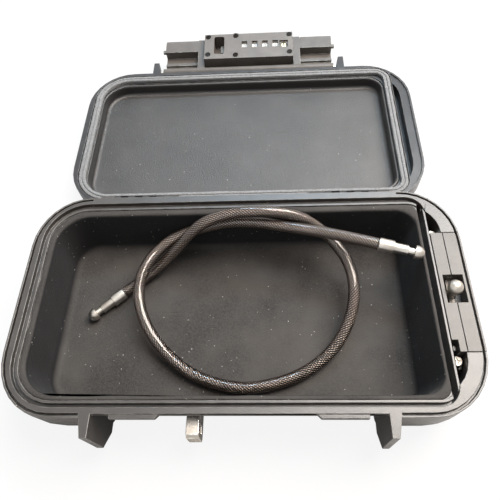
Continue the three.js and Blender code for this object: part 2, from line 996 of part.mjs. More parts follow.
// A compression spring along Z, from its foot upwards
function spring(radius, wire, curls, length) {
  const stepsPerCurl = 8;
  const wireSides = 5;
  const rise = length - wire;
  const points = [];
  for (let step = 0; step <= curls * stepsPerCurl; step += 1) {
    const angle = step / stepsPerCurl * 2 * Math.PI;
    const height = wire / 2 + rise * step / (curls * stepsPerCurl);
    points.push(new THREE.Vector3(radius * Math.cos(angle), radius * Math.sin(angle), height));
  }
  const section = new THREE.Shape();
  for (let corner = 0; corner < wireSides; corner += 1) {
    const angle = corner / wireSides * 2 * Math.PI;
    const x = wire / 2 * Math.cos(angle);
    const y = wire / 2 * Math.sin(angle);
    if (corner === 0) {
      section.moveTo(x, y);
    } else {
      section.lineTo(x, y);
    }
  }
  return new THREE.ExtrudeGeometry(section, {
    steps: curls * stepsPerCurl,
    extrudePath: new THREE.CatmullRomCurve3(points),
    bevelEnabled: false,
  });
}

function plungerSpring() {
  const foot = rim - cableLock.depth + cableLock.floor + gap;
  const length = rim - port.forkBottom - gap - foot;
  const coil = spring(plunger.springRadius, plunger.springWire, plunger.springCurls, length);
  coil.translate(plungerX, plunger.along, foot);
  return piece('plunger_spring', solid(coil), steel());
}

// Lid shell, made closed over the base. Outside the gasket its right end has a thin lip, a
// broad step that presses the plunger down, and a deep pocket
function lidRecess() {
  const x0 = dividerX + gasket.width / 2 + gap + lid.recessStart;
  const bottom = lidRim - overrun;
  const step = prism(insetOutline(lid, lid.recessLip), bottom, lidRim + lid.recessStepDepth);
  const pocket = prism(insetOutline(lid, lid.recessLip + lid.recessStep), bottom, lidRim + lid.recessDepth);
  const rightEnd = block(x0, base.width, wallFront, -wallFront, bottom - overrun, rim + base.height);
  return joined(step, pocket).intersect(rightEnd);
}

function lidArm() {
  const at = hingeStations();
  const y0 = hingeY - hinge.barrel;
  const y1 = hingeY + hinge.barrel;
  const wall = lid.depth / 2 - hinge.armSeat;
  const slope = (lidRim - hingeZ) / 2 + hingeZ;
  const arm = slab([
    [y0, hingeZ],
    [y0, lidRim],
    [wall, lidRim],
    [wall, lidRim + hinge.armHeight],
    [y0, lidRim + hinge.armHeight],
    [y1, slope],
    [y1, hingeZ],
  ], at.barrel0, at.barrel1);
  const barrel = rod(hinge.barrel, hingeY, hingeZ, at.barrel0, at.barrel1, roundSides);
  const bore = rod(hinge.pin + gap, hingeY, hingeZ, at.barrel0 - overrun, at.barrel1 + overrun);
  const middle = (at.barrel0 + at.barrel1) / 2;
  const windows = [-1, 0, 1].map((place) => {
    const x = middle + place * hinge.windowPitch;
    return block(x - hinge.windowWidth / 2, x + hinge.windowWidth / 2, hingeY - hinge.windowHalf,
      hingeY + hinge.windowHalf, hingeZ - hinge.barrel - overrun, hingeZ);
  });
  return cut(joined(arm, barrel), bore, ...windows);
}

function lidLug() {
  const root = -lid.depth / 2 + lug.root;
  const tip = -lid.depth / 2 - lug.reach;
  const outer = lugInner + lug.rootWidth;
  const plan = prism(polygon([
    [lugInner, root],
    [lugInner, -lid.depth / 2],
    [outer - lug.tipWidth, tip],
    [outer, tip],
    [outer, root],
  ]), lidRim, lidRim + lug.rootHeight);
  const side = slab([
    [root, lidRim],
    [tip, lidRim],
    [tip, lidRim + lug.tipHeight],
    [tip + lug.slopeLength, lidRim + lug.shoulderHeight],
    [root, lidRim + lug.rootHeight],
  ], 0, base.width);
  const bore = rod(latch.pin + gap, latchY, latchZ, 0, base.width);
  return cut(plan.intersect(side), bore);
}

function lidShell() {
  const top = lidRim + lid.height;
  const body = caseBody(lid, lid.height - lid.uprightHeight, lid.topInset, lidRim, top);
  const ledge = prism(sealOutline(gasket.width / 2 + gap), lidRim - overrun, lidRim + lid.ledge);
  const tubOutline = linerOutline(lid, lidTray, lidTray.wall + gap);
  const tub = prism(tubOutline, lidRim, lidRim + lidTray.floor + lidTray.wall + gap);
  const arms = joined(lidArm(), lidArm().mirror([1, 0, 0]));
  const lugs = joined(lidLug(), lidLug().mirror([1, 0, 0]));
  const shell = cut(joined(body, arms, lugs), ledge, tub, lidRecess());
  return piece('lid_shell', shell, shellPlastic());
}

function lidFoamLiner() {
  const bottom = lidRim + lid.ledge;
  const outer = prism(linerOutline(lid, lidTray, lidTray.wall), bottom, lidRim + lidTray.floor + lidTray.wall);
  const inner = prism(linerOutline(lid, lidTray, 0), bottom - overrun, lidRim + lidTray.floor);
  return piece('lid_foam_liner', cut(outer, inner), foam());
}

function lidGasket() {
  const half = gasket.width / 2;
  const outer = prism(sealOutline(half), lidRim, lidRim + gasket.height);
  const inner = prism(sealOutline(-half), lidRim - overrun, lidRim + gasket.height + overrun);
  const line = gasket.imprint / 2;
  const imprint = cut(
    prism(sealOutline(line), lidRim - overrun, lidRim + gasket.imprintDepth),
    prism(sealOutline(-line), lidRim - 2 * overrun, lidRim + gasket.imprintDepth + overrun),
  );
  return piece('lid_gasket', cut(outer, inner, imprint), rubber());
}

function hingePins() {
  const at = hingeStations();
  const pin = () => rod(hinge.pin, hingeY, hingeZ, at.start + gap, at.end - gap);
  return [
    piece('hinge_pin_right', pin(), steel()),
    piece('hinge_pin_left', pin().mirror([1, 0, 0]), steel()),
  ];
}

// Latch, drawn closed; depth counts towards the case, drop counts down from the hinge line
function depthY(depth) {
  return latchFaceY + depth;
}

function dropZ(drop) {
  return latchLineZ - drop;
}

function latchBlock(x0, x1, depth0, depth1, drop0, drop1) {
  return block(x0, x1, depthY(depth0), depthY(depth1), dropZ(drop1), dropZ(drop0));
}

function latchFrame() {
  const outer = -latch.thickness;
  const inner = outer + latch.plate;
  const axis = -latch.face;
  const section = [
    [axis, -latch.top],
    [outer, -latch.top],
    [outer, latch.farEdge],
    [-latch.rebateDepth, latch.farEdge],
    [-latch.rebateDepth, latch.farRebate],
    [0, latch.farRebate],
    [0, latch.ridgeNear],
    [inner, latch.ridgeNear],
    [inner, latch.ribFar],
    [inner + latch.ribHeight, latch.ribFar],
    [inner + latch.ribHeight, latch.ribNear],
    [inner, latch.ribNear],
    [inner, latch.topPlate - latch.top],
    [axis, latch.topPlate - latch.top],
  ];
  const points = section.map(([depth, drop]) => [depthY(depth), dropZ(drop)]);
  const wide = latchHalf;
  const wings = slab(points, -wide, wide);
  const barrel = rod(latch.barrel, latchY, latchZ, -wide, wide, roundSides);
  const ridgeEnd = wide + latch.ridgeOverhang;
  const ridge = latchBlock(-ridgeEnd, ridgeEnd, -latch.ridgeHeight, 0, latch.ridgeNear, latch.ridgeFar);
  const opening0 = lock.left - gap;
  const opening1 = lock.right + gap;
  const rails = [opening0 - latch.railWidth, opening1].map((x) =>
    latchBlock(x, x + latch.railWidth, outer, 0, 0, latch.farEdge));
  const opening = latchBlock(opening0, opening1, outer - overrun, overrun, lock.near - gap,
    latch.farEdge + overrun);
  const grip = wide - latch.pinGrip - gap;
  const bores = [-wide - overrun, grip].map((x) =>
    rod(latch.pin + gap, latchY, latchZ, x, x + latch.pinGrip + gap + overrun));
  return piece('latch_frame', cut(joined(wings, barrel, ridge, ...rails), opening, ...bores), shellPlastic());
}

function latchPins() {
  const x0 = latchHalf - latch.pinGrip;
  const x1 = lugInner + lug.rootWidth - gap;
  const pin = () => rod(latch.pin, latchY, latchZ, x0, x1);
  return [
    piece('latch_pin_right', pin(), steel()),
    piece('latch_pin_left', pin().mirror([1, 0, 0]), steel()),
  ];
}

function dialPlaces() {
  return Array.from({ length: dial.count }, (_, place) => dial.first + place * dial.pitch);
}

function plateScrewPlaces() {
  const left = lock.left + plateScrew.edgeAcross;
  const right = lock.right - plateScrew.edgeAcross;
  return [
    [left, lock.far - plateScrew.farInset],
    [plateScrew.middle, lock.far - plateScrew.middleFarInset],
    [right, lock.far - plateScrew.farInset],
    [left, lock.near + plateScrew.nearInset],
    [plateScrew.middle, lock.near + plateScrew.middleNearInset],
    [right, lock.near + plateScrew.nearInset],
  ];
}

// The bolt slides in a channel that opens into the staple's slot
function boltRight() {
  return boltTipX() + bolt.length;
}

function boltTipX() {
  return stapleX + bolt.tip;
}

function lockHousing() {
  const body = latchBlock(lock.left, lock.right, lockOuterFace, lockInnerFace, lock.near, lock.far);
  const slotHalf = lock.slotWidth / 2 + gap;
  const stapleRoom = latchBlock(stapleX - slotHalf, stapleX + slotHalf, lockOuterFace + lock.outerWall,
    overrun, lock.slotNear - gap, lock.slotFar + gap);
  const dialY = depthY(dial.depth);
  const dialZ = dropZ(dial.drop);
  const dialHalf = dial.width / 2 + gap;
  const dialRooms = dialPlaces().map((x) =>
    rod(dial.radius + gap, dialY, dialZ, x - dialHalf, x + dialHalf, 2 * roundSides));
  const shaftHole = rod(dial.shaft + gap, dialY, dialZ, dial.shaftLeft - gap, dial.shaftRight + gap);
  const half = bolt.height / 2 + gap;
  const channel = latchBlock(stapleX, bolt.channelEnd, bolt.front - gap, bolt.back + gap,
    dial.drop - half, dial.drop + half);
  const stemHalf = bolt.stemHeight / 2 + gap;
  const stemSlot = latchBlock(boltRight() - bolt.stemWidth - gap, boltRight() + bolt.travel + gap,
    lockOuterFace - overrun, 0, dial.drop - stemHalf, dial.drop + stemHalf);
  const codeSocket = stud(codeScrew.radius + gap, codeScrew.across, dropZ(codeScrew.drop),
    depthY(codeScrew.top - codeScrew.height - gap), depthY(lockInnerFace + overrun), roundSides);
  const screwHoles = plateScrewPlaces().map(([x, drop]) => stud(plateScrew.shank + gap, x, dropZ(drop),
    depthY(lockInnerFace - plateScrew.shankLength), depthY(lockInnerFace + overrun)));
  const housing = cut(body, stapleRoom, ...dialRooms, shaftHole, channel, stemSlot, codeSocket, ...screwHoles);
  return piece('lock_housing', housing, lockPlastic());
}

// The staple's slot in the back plate, with small round corners
function plateSlot(depth0, depth1) {
  const corner = lock.slotCorner;
  const x0 = stapleX - lock.slotWidth / 2;
  const x1 = stapleX + lock.slotWidth / 2;
  const near = lock.slotNear + corner;
  const far = lock.slotFar - corner;
  const corners = [[x0 + corner, near], [x1 - corner, near], [x0 + corner, far], [x1 - corner, far]];
  return joined(
    latchBlock(x0, x1, depth0, depth1, near, far),
    latchBlock(x0 + corner, x1 - corner, depth0, depth1, lock.slotNear, lock.slotFar),
    ...corners.map(([x, drop]) => stud(corner, x, dropZ(drop), depthY(depth0), depthY(depth1), roundSides)),
  );
}

// Back plate of the lock, whose middle screws sit in round bosses at its edges
function lockBackPlate() {
  const inner = lock.plateFace - lock.plate;
  const flat = latchBlock(lock.left, lock.right, inner, lock.plateFace, lock.near, lock.far);
  const bosses = plateScrewPlaces().filter(([x]) => x === plateScrew.middle).map(([x, drop]) =>
    stud(plateScrew.boss, x, dropZ(drop), depthY(inner), depthY(lock.plateFace), roundSides));
  const plate = joined(flat, ...bosses);
  const windows = dialPlaces().map((x) => latchBlock(x - dial.windowWidth / 2, x + dial.windowWidth / 2,
    inner - overrun, lock.plateFace + overrun, dial.drop - dial.windowHeight / 2,
    dial.drop + dial.windowHeight / 2));
  const codeWindow = latchBlock(lock.codeWindowLeft, lock.codeWindowRight, inner - overrun,
    lock.plateFace + overrun, lock.codeWindowNear, lock.codeWindowFar);
  const holes = plateScrewPlaces().flatMap(([x, drop]) => [
    stud(plateScrew.shank + gap, x, dropZ(drop), depthY(inner - overrun), depthY(lock.plateFace)),
    stud(plateScrew.head + gap, x, dropZ(drop), depthY(lock.plateFace - plateScrew.seatDepth),
      depthY(lock.plateFace + overrun)),
  ]);
  const slot = plateSlot(inner - overrun, lock.plateFace + overrun);
  const finished = cut(plate, slot, ...windows, codeWindow, ...holes);
  return piece('lock_back_plate', finished, lockPlastic());
}

function plateScrews() {
  return plateScrewPlaces().map(([x, drop], place) => {
    const seat = lock.plateFace - plateScrew.seatDepth + gap;
    const z = dropZ(drop);
    const head = stud(plateScrew.head, x, z, depthY(seat), depthY(seat + plateScrew.headHeight));
    const bottom = depthY(lockInnerFace - plateScrew.shankLength + gap);
    const shank = stud(plateScrew.shank, x, z, bottom, depthY(seat));
    return piece(`plate_screw_${place + 1}`, joined(head, shank), blackSteel());
  });
}

// A number dial: a flat for each figure with a valley between
function numberDials() {
  const turn = 2 * Math.PI / dial.figures;
  const flatShare = 0.36;
  return dialPlaces().map((x, place) => {
    const rimPoints = [];
    for (let figure = 0; figure < dial.figures; figure += 1) {
      const middle = figure * turn;
      const corners = [
        [middle - flatShare * turn, dial.radius],
        [middle + flatShare * turn, dial.radius],
        [middle + turn / 2, dial.radius - dial.valley],
      ];
      for (const [angle, radius] of corners) {
        rimPoints.push([
          depthY(dial.depth) + radius * Math.cos(angle),
          dropZ(dial.drop) + radius * Math.sin(angle),
        ]);
      }
    }
    const half = dial.width / 2;
    const wheel = slab(rimPoints, x - half, x + half);
    const bore = rod(dial.shaft + gap, depthY(dial.depth), dropZ(dial.drop), x - overrun, x + overrun);
    return piece(`number_dial_${place + 1}`, cut(wheel, bore), dialPlastic());
  });
}

function dialShaft() {
  const shaft = rod(dial.shaft, depthY(dial.depth), dropZ(dial.drop), dial.shaftLeft, dial.shaftRight);
  return piece('dial_shaft', shaft, steel());
}

function lockBolt() {
  const half = bolt.height / 2;
  const bar = latchBlock(boltTipX(), boltRight(), bolt.front, bolt.back, dial.drop - half, dial.drop + half);
  return piece('lock_bolt', bar, steel());
}

// Release button on the outer face, with a stem that reaches in to the bolt
function releaseButton() {
  const x1 = boltRight();
  const stemHalf = bolt.stemHeight / 2;
  const outside = lockOuterFace - gap;
  const stem = latchBlock(x1 - bolt.stemWidth, x1, outside, bolt.front - gap, dial.drop - stemHalf,
    dial.drop + stemHalf);
  const centre = x1 - bolt.stemWidth / 2;
  const x0 = centre - bolt.buttonWidth / 2;
  const low = dial.drop - bolt.buttonHeight / 2;
  const high = dial.drop + bolt.buttonHeight / 2;
  const face = outside - bolt.buttonProud;
  const cap = latchBlock(x0, x0 + bolt.buttonWidth, face, outside, low, high);
  const pitch = bolt.buttonWidth / (bolt.ribs + 1);
  const ribs = Array.from({ length: bolt.ribs }, (_, rib) => {
    const x = x0 + (rib + 1) * pitch;
    return latchBlock(x - bolt.ribWidth / 2, x + bolt.ribWidth / 2, face - bolt.ribHeight, face,
      low + bolt.ribWidth, high - bolt.ribWidth);
  });
  return piece('release_button', joined(stem, cap, ...ribs), lockPlastic());
}

function boltSpring() {
  const x0 = boltRight() + gap;
  const length = bolt.channelEnd - gap - x0;
  const coil = spring(bolt.springRadius, bolt.springWire, bolt.springCurls, length);
  coil.rotateY(Math.PI / 2);
  coil.translate(x0, depthY((bolt.front + bolt.back) / 2), dropZ(dial.drop));
  return piece('bolt_spring', solid(coil), steel());
}

function codeChangeScrew() {
  const y1 = depthY(codeScrew.top);
  const z = dropZ(codeScrew.drop);
  const body = stud(codeScrew.radius, codeScrew.across, z, y1 - codeScrew.height, y1, roundSides);
  const half = codeScrew.slotWidth / 2;
  const slot = block(codeScrew.across - half, codeScrew.across + half, y1 - codeScrew.slotDepth,
    y1 + overrun, z - codeScrew.radius - overrun, z + codeScrew.radius + overrun);
  return piece('code_change_screw', cut(body, slot), brass());
}

// Security cable along its route, with a gap to each fitting
function cablePoints() {
  return cableRoute.map((point) => new THREE.Vector3(...point));
}

function securityCable() {
  const section = new THREE.Shape();
  section.absarc(0, 0, cable.diameter / 2, 0, 2 * Math.PI, false);
  const geometry = new THREE.ExtrudeGeometry(section, {
    steps: cable.steps,
    curveSegments: cable.sides / 2,
    extrudePath: new THREE.CatmullRomCurve3(cablePoints()),
    bevelEnabled: false,
  });
  return piece('security_cable', solid(geometry), cableVinyl());
}

// Least distance between two stretches of the cable that aren't next to each other
function reportCable() {
  const curve = new THREE.CatmullRomCurve3(cablePoints());
  const length = curve.getLength();
  const points = curve.getSpacedPoints(Math.round(length));
  const apart = 3 * cable.diameter;
  let least = Infinity;
  for (let first = 0; first < points.length; first += 1) {
    for (let second = first + Math.ceil(apart); second < points.length; second += 1) {
      least = Math.min(least, points[first].distanceTo(points[second]));
    }
  }
  console.log(`cable length ${length.toFixed(1)}, least gap to itself ${(least - cable.diameter).toFixed(2)}`);
}

// A swaged fitting: sleeve, body, neck and rounded head, from the cable's end to its tip
function cableFitting(name, end, tip) {
  const start = new THREE.Vector3(...end);
  const direction = new THREE.Vector3(...tip).sub(start).normalize();
  const bodyEnd = ferrule.sleeveLength + ferrule.bodyLength;
  const headStart = bodyEnd + ferrule.neckLength;
  const headEnd = headStart + ferrule.headLength;
  const profile = [
    [0, 0],
    [ferrule.sleeve - ferrule.bevel, 0],
    [ferrule.sleeve, ferrule.bevel],
    [ferrule.sleeve, ferrule.sleeveLength - ferrule.bevel],
    [ferrule.body, ferrule.sleeveLength],
    [ferrule.body, bodyEnd],
    [ferrule.neck, bodyEnd],
    [ferrule.neck, headStart],
    [ferrule.head, headStart],
    [ferrule.head, headStart + ferrule.bevel],
    [ferrule.body, headEnd - ferrule.bevel],
    [ferrule.neck, headEnd],
    [0, headEnd],
  ];
  const points = profile.map(([radius, along]) => new THREE.Vector2(radius, along));
  const fitting = piece(name, solid(new THREE.LatheGeometry(points, roundSides)), steel());
  fitting.quaternion.setFromUnitVectors(new THREE.Vector3(0, 1, 0), direction);
  fitting.position.copy(start).addScaledVector(direction, gap);
  return fitting;
}

// Assembly: what swings is drawn closed and then turned open about its hinge
function turnedAboutX(children, y, z, degrees) {
  const turned = new THREE.Group();
  turned.position.set(0, y, z);
  turned.rotation.x = THREE.MathUtils.degToRad(degrees);
  const drawn = new THREE.Group();
  drawn.position.set(0, -y, -z);
  drawn.add(...children);
  turned.add(drawn);
  return turned;
}

const latchPieces = [
  latchFrame(),
  lockHousing(),
  lockBackPlate(),
  ...plateScrews(),
  ...numberDials(),
  dialShaft(),
  lockBolt(),
  releaseButton(),
  boltSpring(),
  codeChangeScrew(),
];
const openLatch = turnedAboutX(latchPieces, latchY, latchZ, -latch.openAngle);
const lidPieces = [lidShell(), lidFoamLiner(), lidGasket(), ...latchPins(), openLatch];
const openLid = turnedAboutX(lidPieces, hingeY, hingeZ, -180);

const group = new THREE.Group();
group.add(
  baseShell(),
  baseFoamLiner(),
  stapleBracket(),
  cableLockInner(),
  cableLockOuter(),
  ...earScrews(),
  cablePlunger(),
  cableFork(),
  plungerSpring(),
  ...hingePins(),
  openLid,
  securityCable(),
  cableFitting('cable_end_left', cableRoute[0], leftTip),
  cableFitting('cable_end_right', cableRoute.at(-1), rightTip),
);
reportCable();

export default group;
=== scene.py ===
import math

import bmesh
import bpy
from mathutils import Matrix, Vector, noise


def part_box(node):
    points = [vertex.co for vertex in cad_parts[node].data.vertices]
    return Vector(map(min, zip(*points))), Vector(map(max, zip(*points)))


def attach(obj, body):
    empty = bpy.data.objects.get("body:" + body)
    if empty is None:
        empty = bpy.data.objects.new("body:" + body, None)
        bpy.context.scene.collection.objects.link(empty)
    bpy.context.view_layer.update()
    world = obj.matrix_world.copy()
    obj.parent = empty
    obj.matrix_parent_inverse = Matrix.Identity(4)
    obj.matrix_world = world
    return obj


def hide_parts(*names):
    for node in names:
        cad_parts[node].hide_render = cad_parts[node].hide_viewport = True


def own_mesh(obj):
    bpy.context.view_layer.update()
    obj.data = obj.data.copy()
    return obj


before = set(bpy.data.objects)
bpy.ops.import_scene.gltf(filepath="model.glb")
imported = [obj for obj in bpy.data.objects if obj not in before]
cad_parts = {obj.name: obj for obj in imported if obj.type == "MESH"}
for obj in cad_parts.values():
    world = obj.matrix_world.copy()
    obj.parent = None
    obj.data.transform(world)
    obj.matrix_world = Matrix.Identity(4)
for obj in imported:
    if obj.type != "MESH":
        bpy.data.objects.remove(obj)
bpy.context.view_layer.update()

# The camera stands in front of the open case, a little to the right of its middle, and
# looks down on it at almost sixty degrees with a slight roll, as a person with a phone does.
camera_place = Vector((0.019226, -0.113353, 0.277091))
camera_yaw = math.radians(-5.865)
camera_pitch = math.radians(59.407)
camera_roll = math.radians(6.068)
picture_width = 500
focal_pixels = 496.996
sensor_width = 36
nearest_seen = 0.01

ahead = Vector((
    math.sin(camera_yaw) * math.cos(camera_pitch),
    math.cos(camera_yaw) * math.cos(camera_pitch),
    -math.sin(camera_pitch),
))
level = Vector((math.cos(camera_yaw), -math.sin(camera_yaw), 0))
below = ahead.cross(level)
picture_right = math.cos(camera_roll) * level + math.sin(camera_roll) * below
picture_down = math.cos(camera_roll) * below - math.sin(camera_roll) * level

lens = bpy.data.cameras.new("photograph")
lens.sensor_width = sensor_width
lens.lens = sensor_width * focal_pixels / picture_width
lens.clip_start = nearest_seen
camera = bpy.data.objects.new("photograph", lens)
camera.matrix_world = Matrix.LocRotScale(
    camera_place,
    Matrix((picture_right, -picture_down, -ahead)).transposed().to_quaternion(),
    None,
)
bpy.context.scene.collection.objects.link(camera)
bpy.context.scene.camera = camera
bpy.context.scene.view_settings.view_transform = "Standard"

# Security cable: twisted steel strands in a thick smoke-tinted vinyl jacket, lying loose in
# the tray. It starts behind the left fitting, loops once and ends behind the right one.
cable_route = [
    (-0.0712, 0.0138, 0.0134), (-0.0640, 0.0198, 0.0132), (-0.0562, 0.0260, 0.0150),
    (-0.0472, 0.0314, 0.0198), (-0.0382, 0.0358, 0.0282), (-0.0298, 0.0396, 0.0370),
    (-0.0210, 0.0428, 0.0432), (-0.0070, 0.0458, 0.0468), (0.0077, 0.0465, 0.0476),
    (0.0223, 0.0464, 0.0462), (0.0340, 0.0460, 0.0412), (0.0450, 0.0422, 0.0346),
    (0.0534, 0.0346, 0.0306), (0.0600, 0.0232, 0.0280), (0.0622, 0.0100, 0.0256),
    (0.0608, -0.0016, 0.0222), (0.0557, -0.0139, 0.0185), (0.0465, -0.0255, 0.0150),
    (0.0325, -0.0352, 0.0132), (0.0170, -0.0408, 0.0129), (0.0018, -0.0430, 0.0129),
    (-0.0135, -0.0406, 0.0129), (-0.0295, -0.0341, 0.0136), (-0.0443, -0.0220, 0.0162),
    (-0.0550, -0.0071, 0.0200), (-0.0594, 0.0090, 0.0236), (-0.0574, 0.0224, 0.0258),
    (-0.0500, 0.0352, 0.0266), (-0.0386, 0.0440, 0.0278), (-0.0226, 0.0462, 0.0330),
    (-0.0080, 0.0462, 0.0376), (0.0060, 0.0450, 0.0394), (0.0222, 0.0414, 0.0406),
    (0.0332, 0.0386, 0.0414), (0.0460, 0.0354, 0.0422), (0.0605, 0.0311, 0.0429),
    (0.0747, 0.0265, 0.0435),
]
cable_diameter = 0.0065
cable_ring_step = 0.001
route_steps = 24
jacket_sides = 24
strand_count = 11
strand_lay = 0.019
strand_reach = 0.00282
strand_bulge = 0.00045
strand_roundness = 1.3
strand_sides = 88
smooth_angle = math.radians(38)


def point_along(before, start, end, after, share):
    """A point between start and end on a smooth curve through all four points."""
    knots = [0.0]
    for a, b in ((before, start), (start, end), (end, after)):
        knots.append(knots[-1] + math.sqrt((b - a).length))
    t = knots[1] + share * (knots[2] - knots[1])

    def mix(a, b, low, high):
        return a * ((high - t) / (high - low)) + b * ((t - low) / (high - low))

    first = mix(before, start, knots[0], knots[1])
    second = mix(start, end, knots[1], knots[2])
    third = mix(end, after, knots[2], knots[3])
    left = mix(first, second, knots[0], knots[2])
    right = mix(second, third, knots[1], knots[3])
    return mix(left, right, knots[1], knots[2])


def smooth_line(points, steps):
    """The smooth curve through points, with the same number of steps between each two."""
    path = [Vector(p) for p in points]
    path = [2 * path[0] - path[1], *path, 2 * path[-1] - path[-2]]
    line = []
    for place in range(1, len(path) - 2):
        for step in range(steps):
            line.append(point_along(*path[place - 1:place + 3], step / steps))
    line.append(path[-2])
    return line


def even_line(line, step):
    """Points at even distances along a line, about a step apart."""
    marks = [0.0]
    for a, b in zip(line, line[1:]):
        marks.append(marks[-1] + (b - a).length)
    count = round(marks[-1] / step)
    even = []
    at = 0
    for place in range(count + 1):
        along = marks[-1] * place / count
        while at < len(line) - 2 and marks[at + 1] < along:
            at += 1
        share = (along - marks[at]) / (marks[at + 1] - marks[at])
        even.append(line[at].lerp(line[at + 1], share))
    return even


def made(name, mesh):
    """A new object for a mesh, with its faces shaded smooth across shallow angles."""
    mesh.shade_smooth()
    mesh.set_sharp_from_angle(angle=smooth_angle)
    piece = bpy.data.objects.new(name, mesh)
    bpy.context.scene.collection.objects.link(piece)
    return piece


def skin(name, rings, loop=False):
    """A closed surface through rings of equal counts: capped at both ends, or joined round."""
    count = len(rings[0])
    points = [tuple(p) for ring in rings for p in ring]
    faces = []
    for row in range(len(rings) if loop else len(rings) - 1):
        low = row * count
        high = (row + 1) % len(rings) * count
        for corner in range(count):
            following = (corner + 1) % count
            faces.append((low + corner, low + following, high + following, high + corner))
    if not loop:
        faces.append(tuple(range(count))[::-1])
        faces.append(tuple(range((len(rings) - 1) * count, len(rings) * count)))
    mesh = bpy.data.meshes.new(name)
    mesh.from_pydata(points, [], faces)
    build = bmesh.new()
    build.from_mesh(mesh)
    bmesh.ops.recalc_face_normals(build, faces=build.faces)
    build.to_mesh(mesh)
    build.free()
    return made(name, mesh)


def tube(name, line, sides, radius_at, step, lay=math.inf):
    """A tube along a line, its radius set by the angle, its ribs laid round it once in a lay."""
    side = Vector((0, 0, 1))
    rings = []
    for place, centre in enumerate(line):
        toward = (line[min(place + 1, len(line) - 1)] - line[max(place - 1, 0)]).normalized()
        side = (side - toward * side.dot(toward)).normalized()
        other = toward.cross(side)
        ring = []
        for corner in range(sides):
            angle = corner / sides * 2 * math.pi
            reach = radius_at(angle)
            angle += place * step / lay * 2 * math.pi
            ring.append(centre + reach * (math.cos(angle) * side + math.sin(angle) * other))
        rings.append(ring)
    return skin(name, rings)


def wire(tree, kind, links=(), **settings):
    """A node with its settings, and links given as pairs of input and output socket."""
    node = tree.nodes.new(kind)
    for key, value in settings.items():
        setattr(node, key, value)
    for socket, source in links:
        if isinstance(source, (int, float, tuple)):
            node.inputs[socket].default_value = source
        else:
            tree.links.new(source, node.inputs[socket])
    return node


def feed(tree, node, **sources):
    """Links output sockets to a node's inputs, each input named with _ for a space."""
    for label, source in sources.items():
        tree.links.new(source, node.inputs[label.replace("_", " ")])


def sum_of(tree, operation, *values, clamp=False):
    """The result of one sum on one, two or three numbers or sockets."""
    links = list(enumerate(values))
    return wire(tree, "ShaderNodeMath", links, operation=operation, use_clamp=clamp).outputs[0]


def between(tree, value, low, high, first=0.0, last=1.0):
    """Value turned from the range low to high into the range first to last, held inside it."""
    links = [(0, value), (1, low), (2, high), (3, first), (4, last)]
    return wire(tree, "ShaderNodeMapRange", links).outputs[0]


def tint(tree, share, first, second):
    """A colour between two colours. Inputs 6 and 7 and output 2 are the node's colours."""
    mix = wire(tree, "ShaderNodeMix", data_type="RGBA")
    tree.links.new(share, mix.inputs["Factor"])
    for socket, colour in ((mix.inputs[6], first), (mix.inputs[7], second)):
        if isinstance(colour, tuple):
            socket.default_value = (*colour, 1)
        else:
            tree.links.new(colour, socket)
    return mix.outputs[2]


def finish_for(name, **plain):
    """A new material and its main shader, with plain values set on the shader's sockets."""
    material = bpy.data.materials.new(name)
    material.use_nodes = True
    tree = material.node_tree
    shader = tree.nodes["Principled BSDF"]
    for label, value in plain.items():
        socket = shader.inputs[label.replace("_", " ")]
        socket.default_value = (*value, 1) if isinstance(value, tuple) else value
    return material, tree, shader


def raised(tree, shader, height, distance):
    """Height as fine relief on the shader's normal, with its distance in metres."""
    links = [("Strength", 1.0), ("Distance", distance), ("Height", height)]
    feed(tree, shader, Normal=wire(tree, "ShaderNodeBump", links).outputs[0])


def coat(piece, material):
    """Gives a piece one material."""
    piece.data.materials.clear()
    piece.data.materials.append(material)


def jacket_radius(angle):
    return cable_diameter / 2


def strand_radius(angle):
    hollow = 1 - abs(math.cos(strand_count * angle / 2))
    return strand_reach - strand_bulge * hollow ** strand_roundness


cable_line = even_line(smooth_line(cable_route, route_steps), cable_ring_step)
jacket = tube("cable_jacket", cable_line, jacket_sides, jacket_radius, cable_ring_step)
strands = tube("cable_strands", cable_line, strand_sides, strand_radius, cable_ring_step,
               strand_lay)

vinyl_clear = (0.86, 0.79, 0.73)
vinyl_smoke = (0.1, 0.08, 0.07)
vinyl, tree, shader = finish_for(
    "smoke_vinyl", Roughness=0.08, IOR=1.5, Transmission_Weight=1.0)
rim = wire(tree, "ShaderNodeLayerWeight", [("Blend", 0.5)])
edge_on = between(tree, rim.outputs["Facing"], low=0.25, high=0.85)
feed(tree, shader, Base_Color=tint(tree, edge_on, vinyl_clear, vinyl_smoke))
coat(jacket, vinyl)

# Painted shade darkens each strand in the grooves beside it and between its own fine wires, which
# cross it the other way
across = strands.data.uv_layers.new(name="wires")
for loop_index, loop in enumerate(strands.data.loops):
    ring, corner = divmod(loop.vertex_index, strand_sides)
    groove = 1 - abs(math.cos(strand_count * corner / strand_sides * math.pi))
    across.data[loop_index].uv = (groove, ring * cable_ring_step)
wire_pitch = 0.0011
wire_slant = 2.5
wire_relief = 0.0001
groove_shade_colour = (0.01, 0.008, 0.007)
crown_colour = (0.6, 0.51, 0.46)
steel_wire, tree, shader = finish_for("steel_strands", Metallic=1.0)
place = wire(tree, "ShaderNodeUVMap", uv_map="wires")
split = wire(tree, "ShaderNodeSeparateXYZ", [(0, place.outputs[0])])
slant = sum_of(tree, "MULTIPLY_ADD", split.outputs[1], 2 * math.pi / wire_pitch,
               sum_of(tree, "MULTIPLY", split.outputs[0], wire_slant))
stripe = between(tree, sum_of(tree, "SINE", slant), low=-1.0, high=0.6, first=0.18, last=1.0)
# The strand's colour fades to painted shade towards the grooves between strands, and the stripe
# adds painted shade between the fine wires
top = between(tree, split.outputs[0], low=0.03, high=0.5, first=1.0, last=0.0)
crown = sum_of(tree, "MULTIPLY", stripe, top)
feed(tree, shader,
     Base_Color=tint(tree, crown, groove_shade_colour, crown_colour),
     Roughness=between(tree, crown, low=0.0, high=1.0, first=0.7, last=0.45))
raised(tree, shader, stripe, wire_relief)
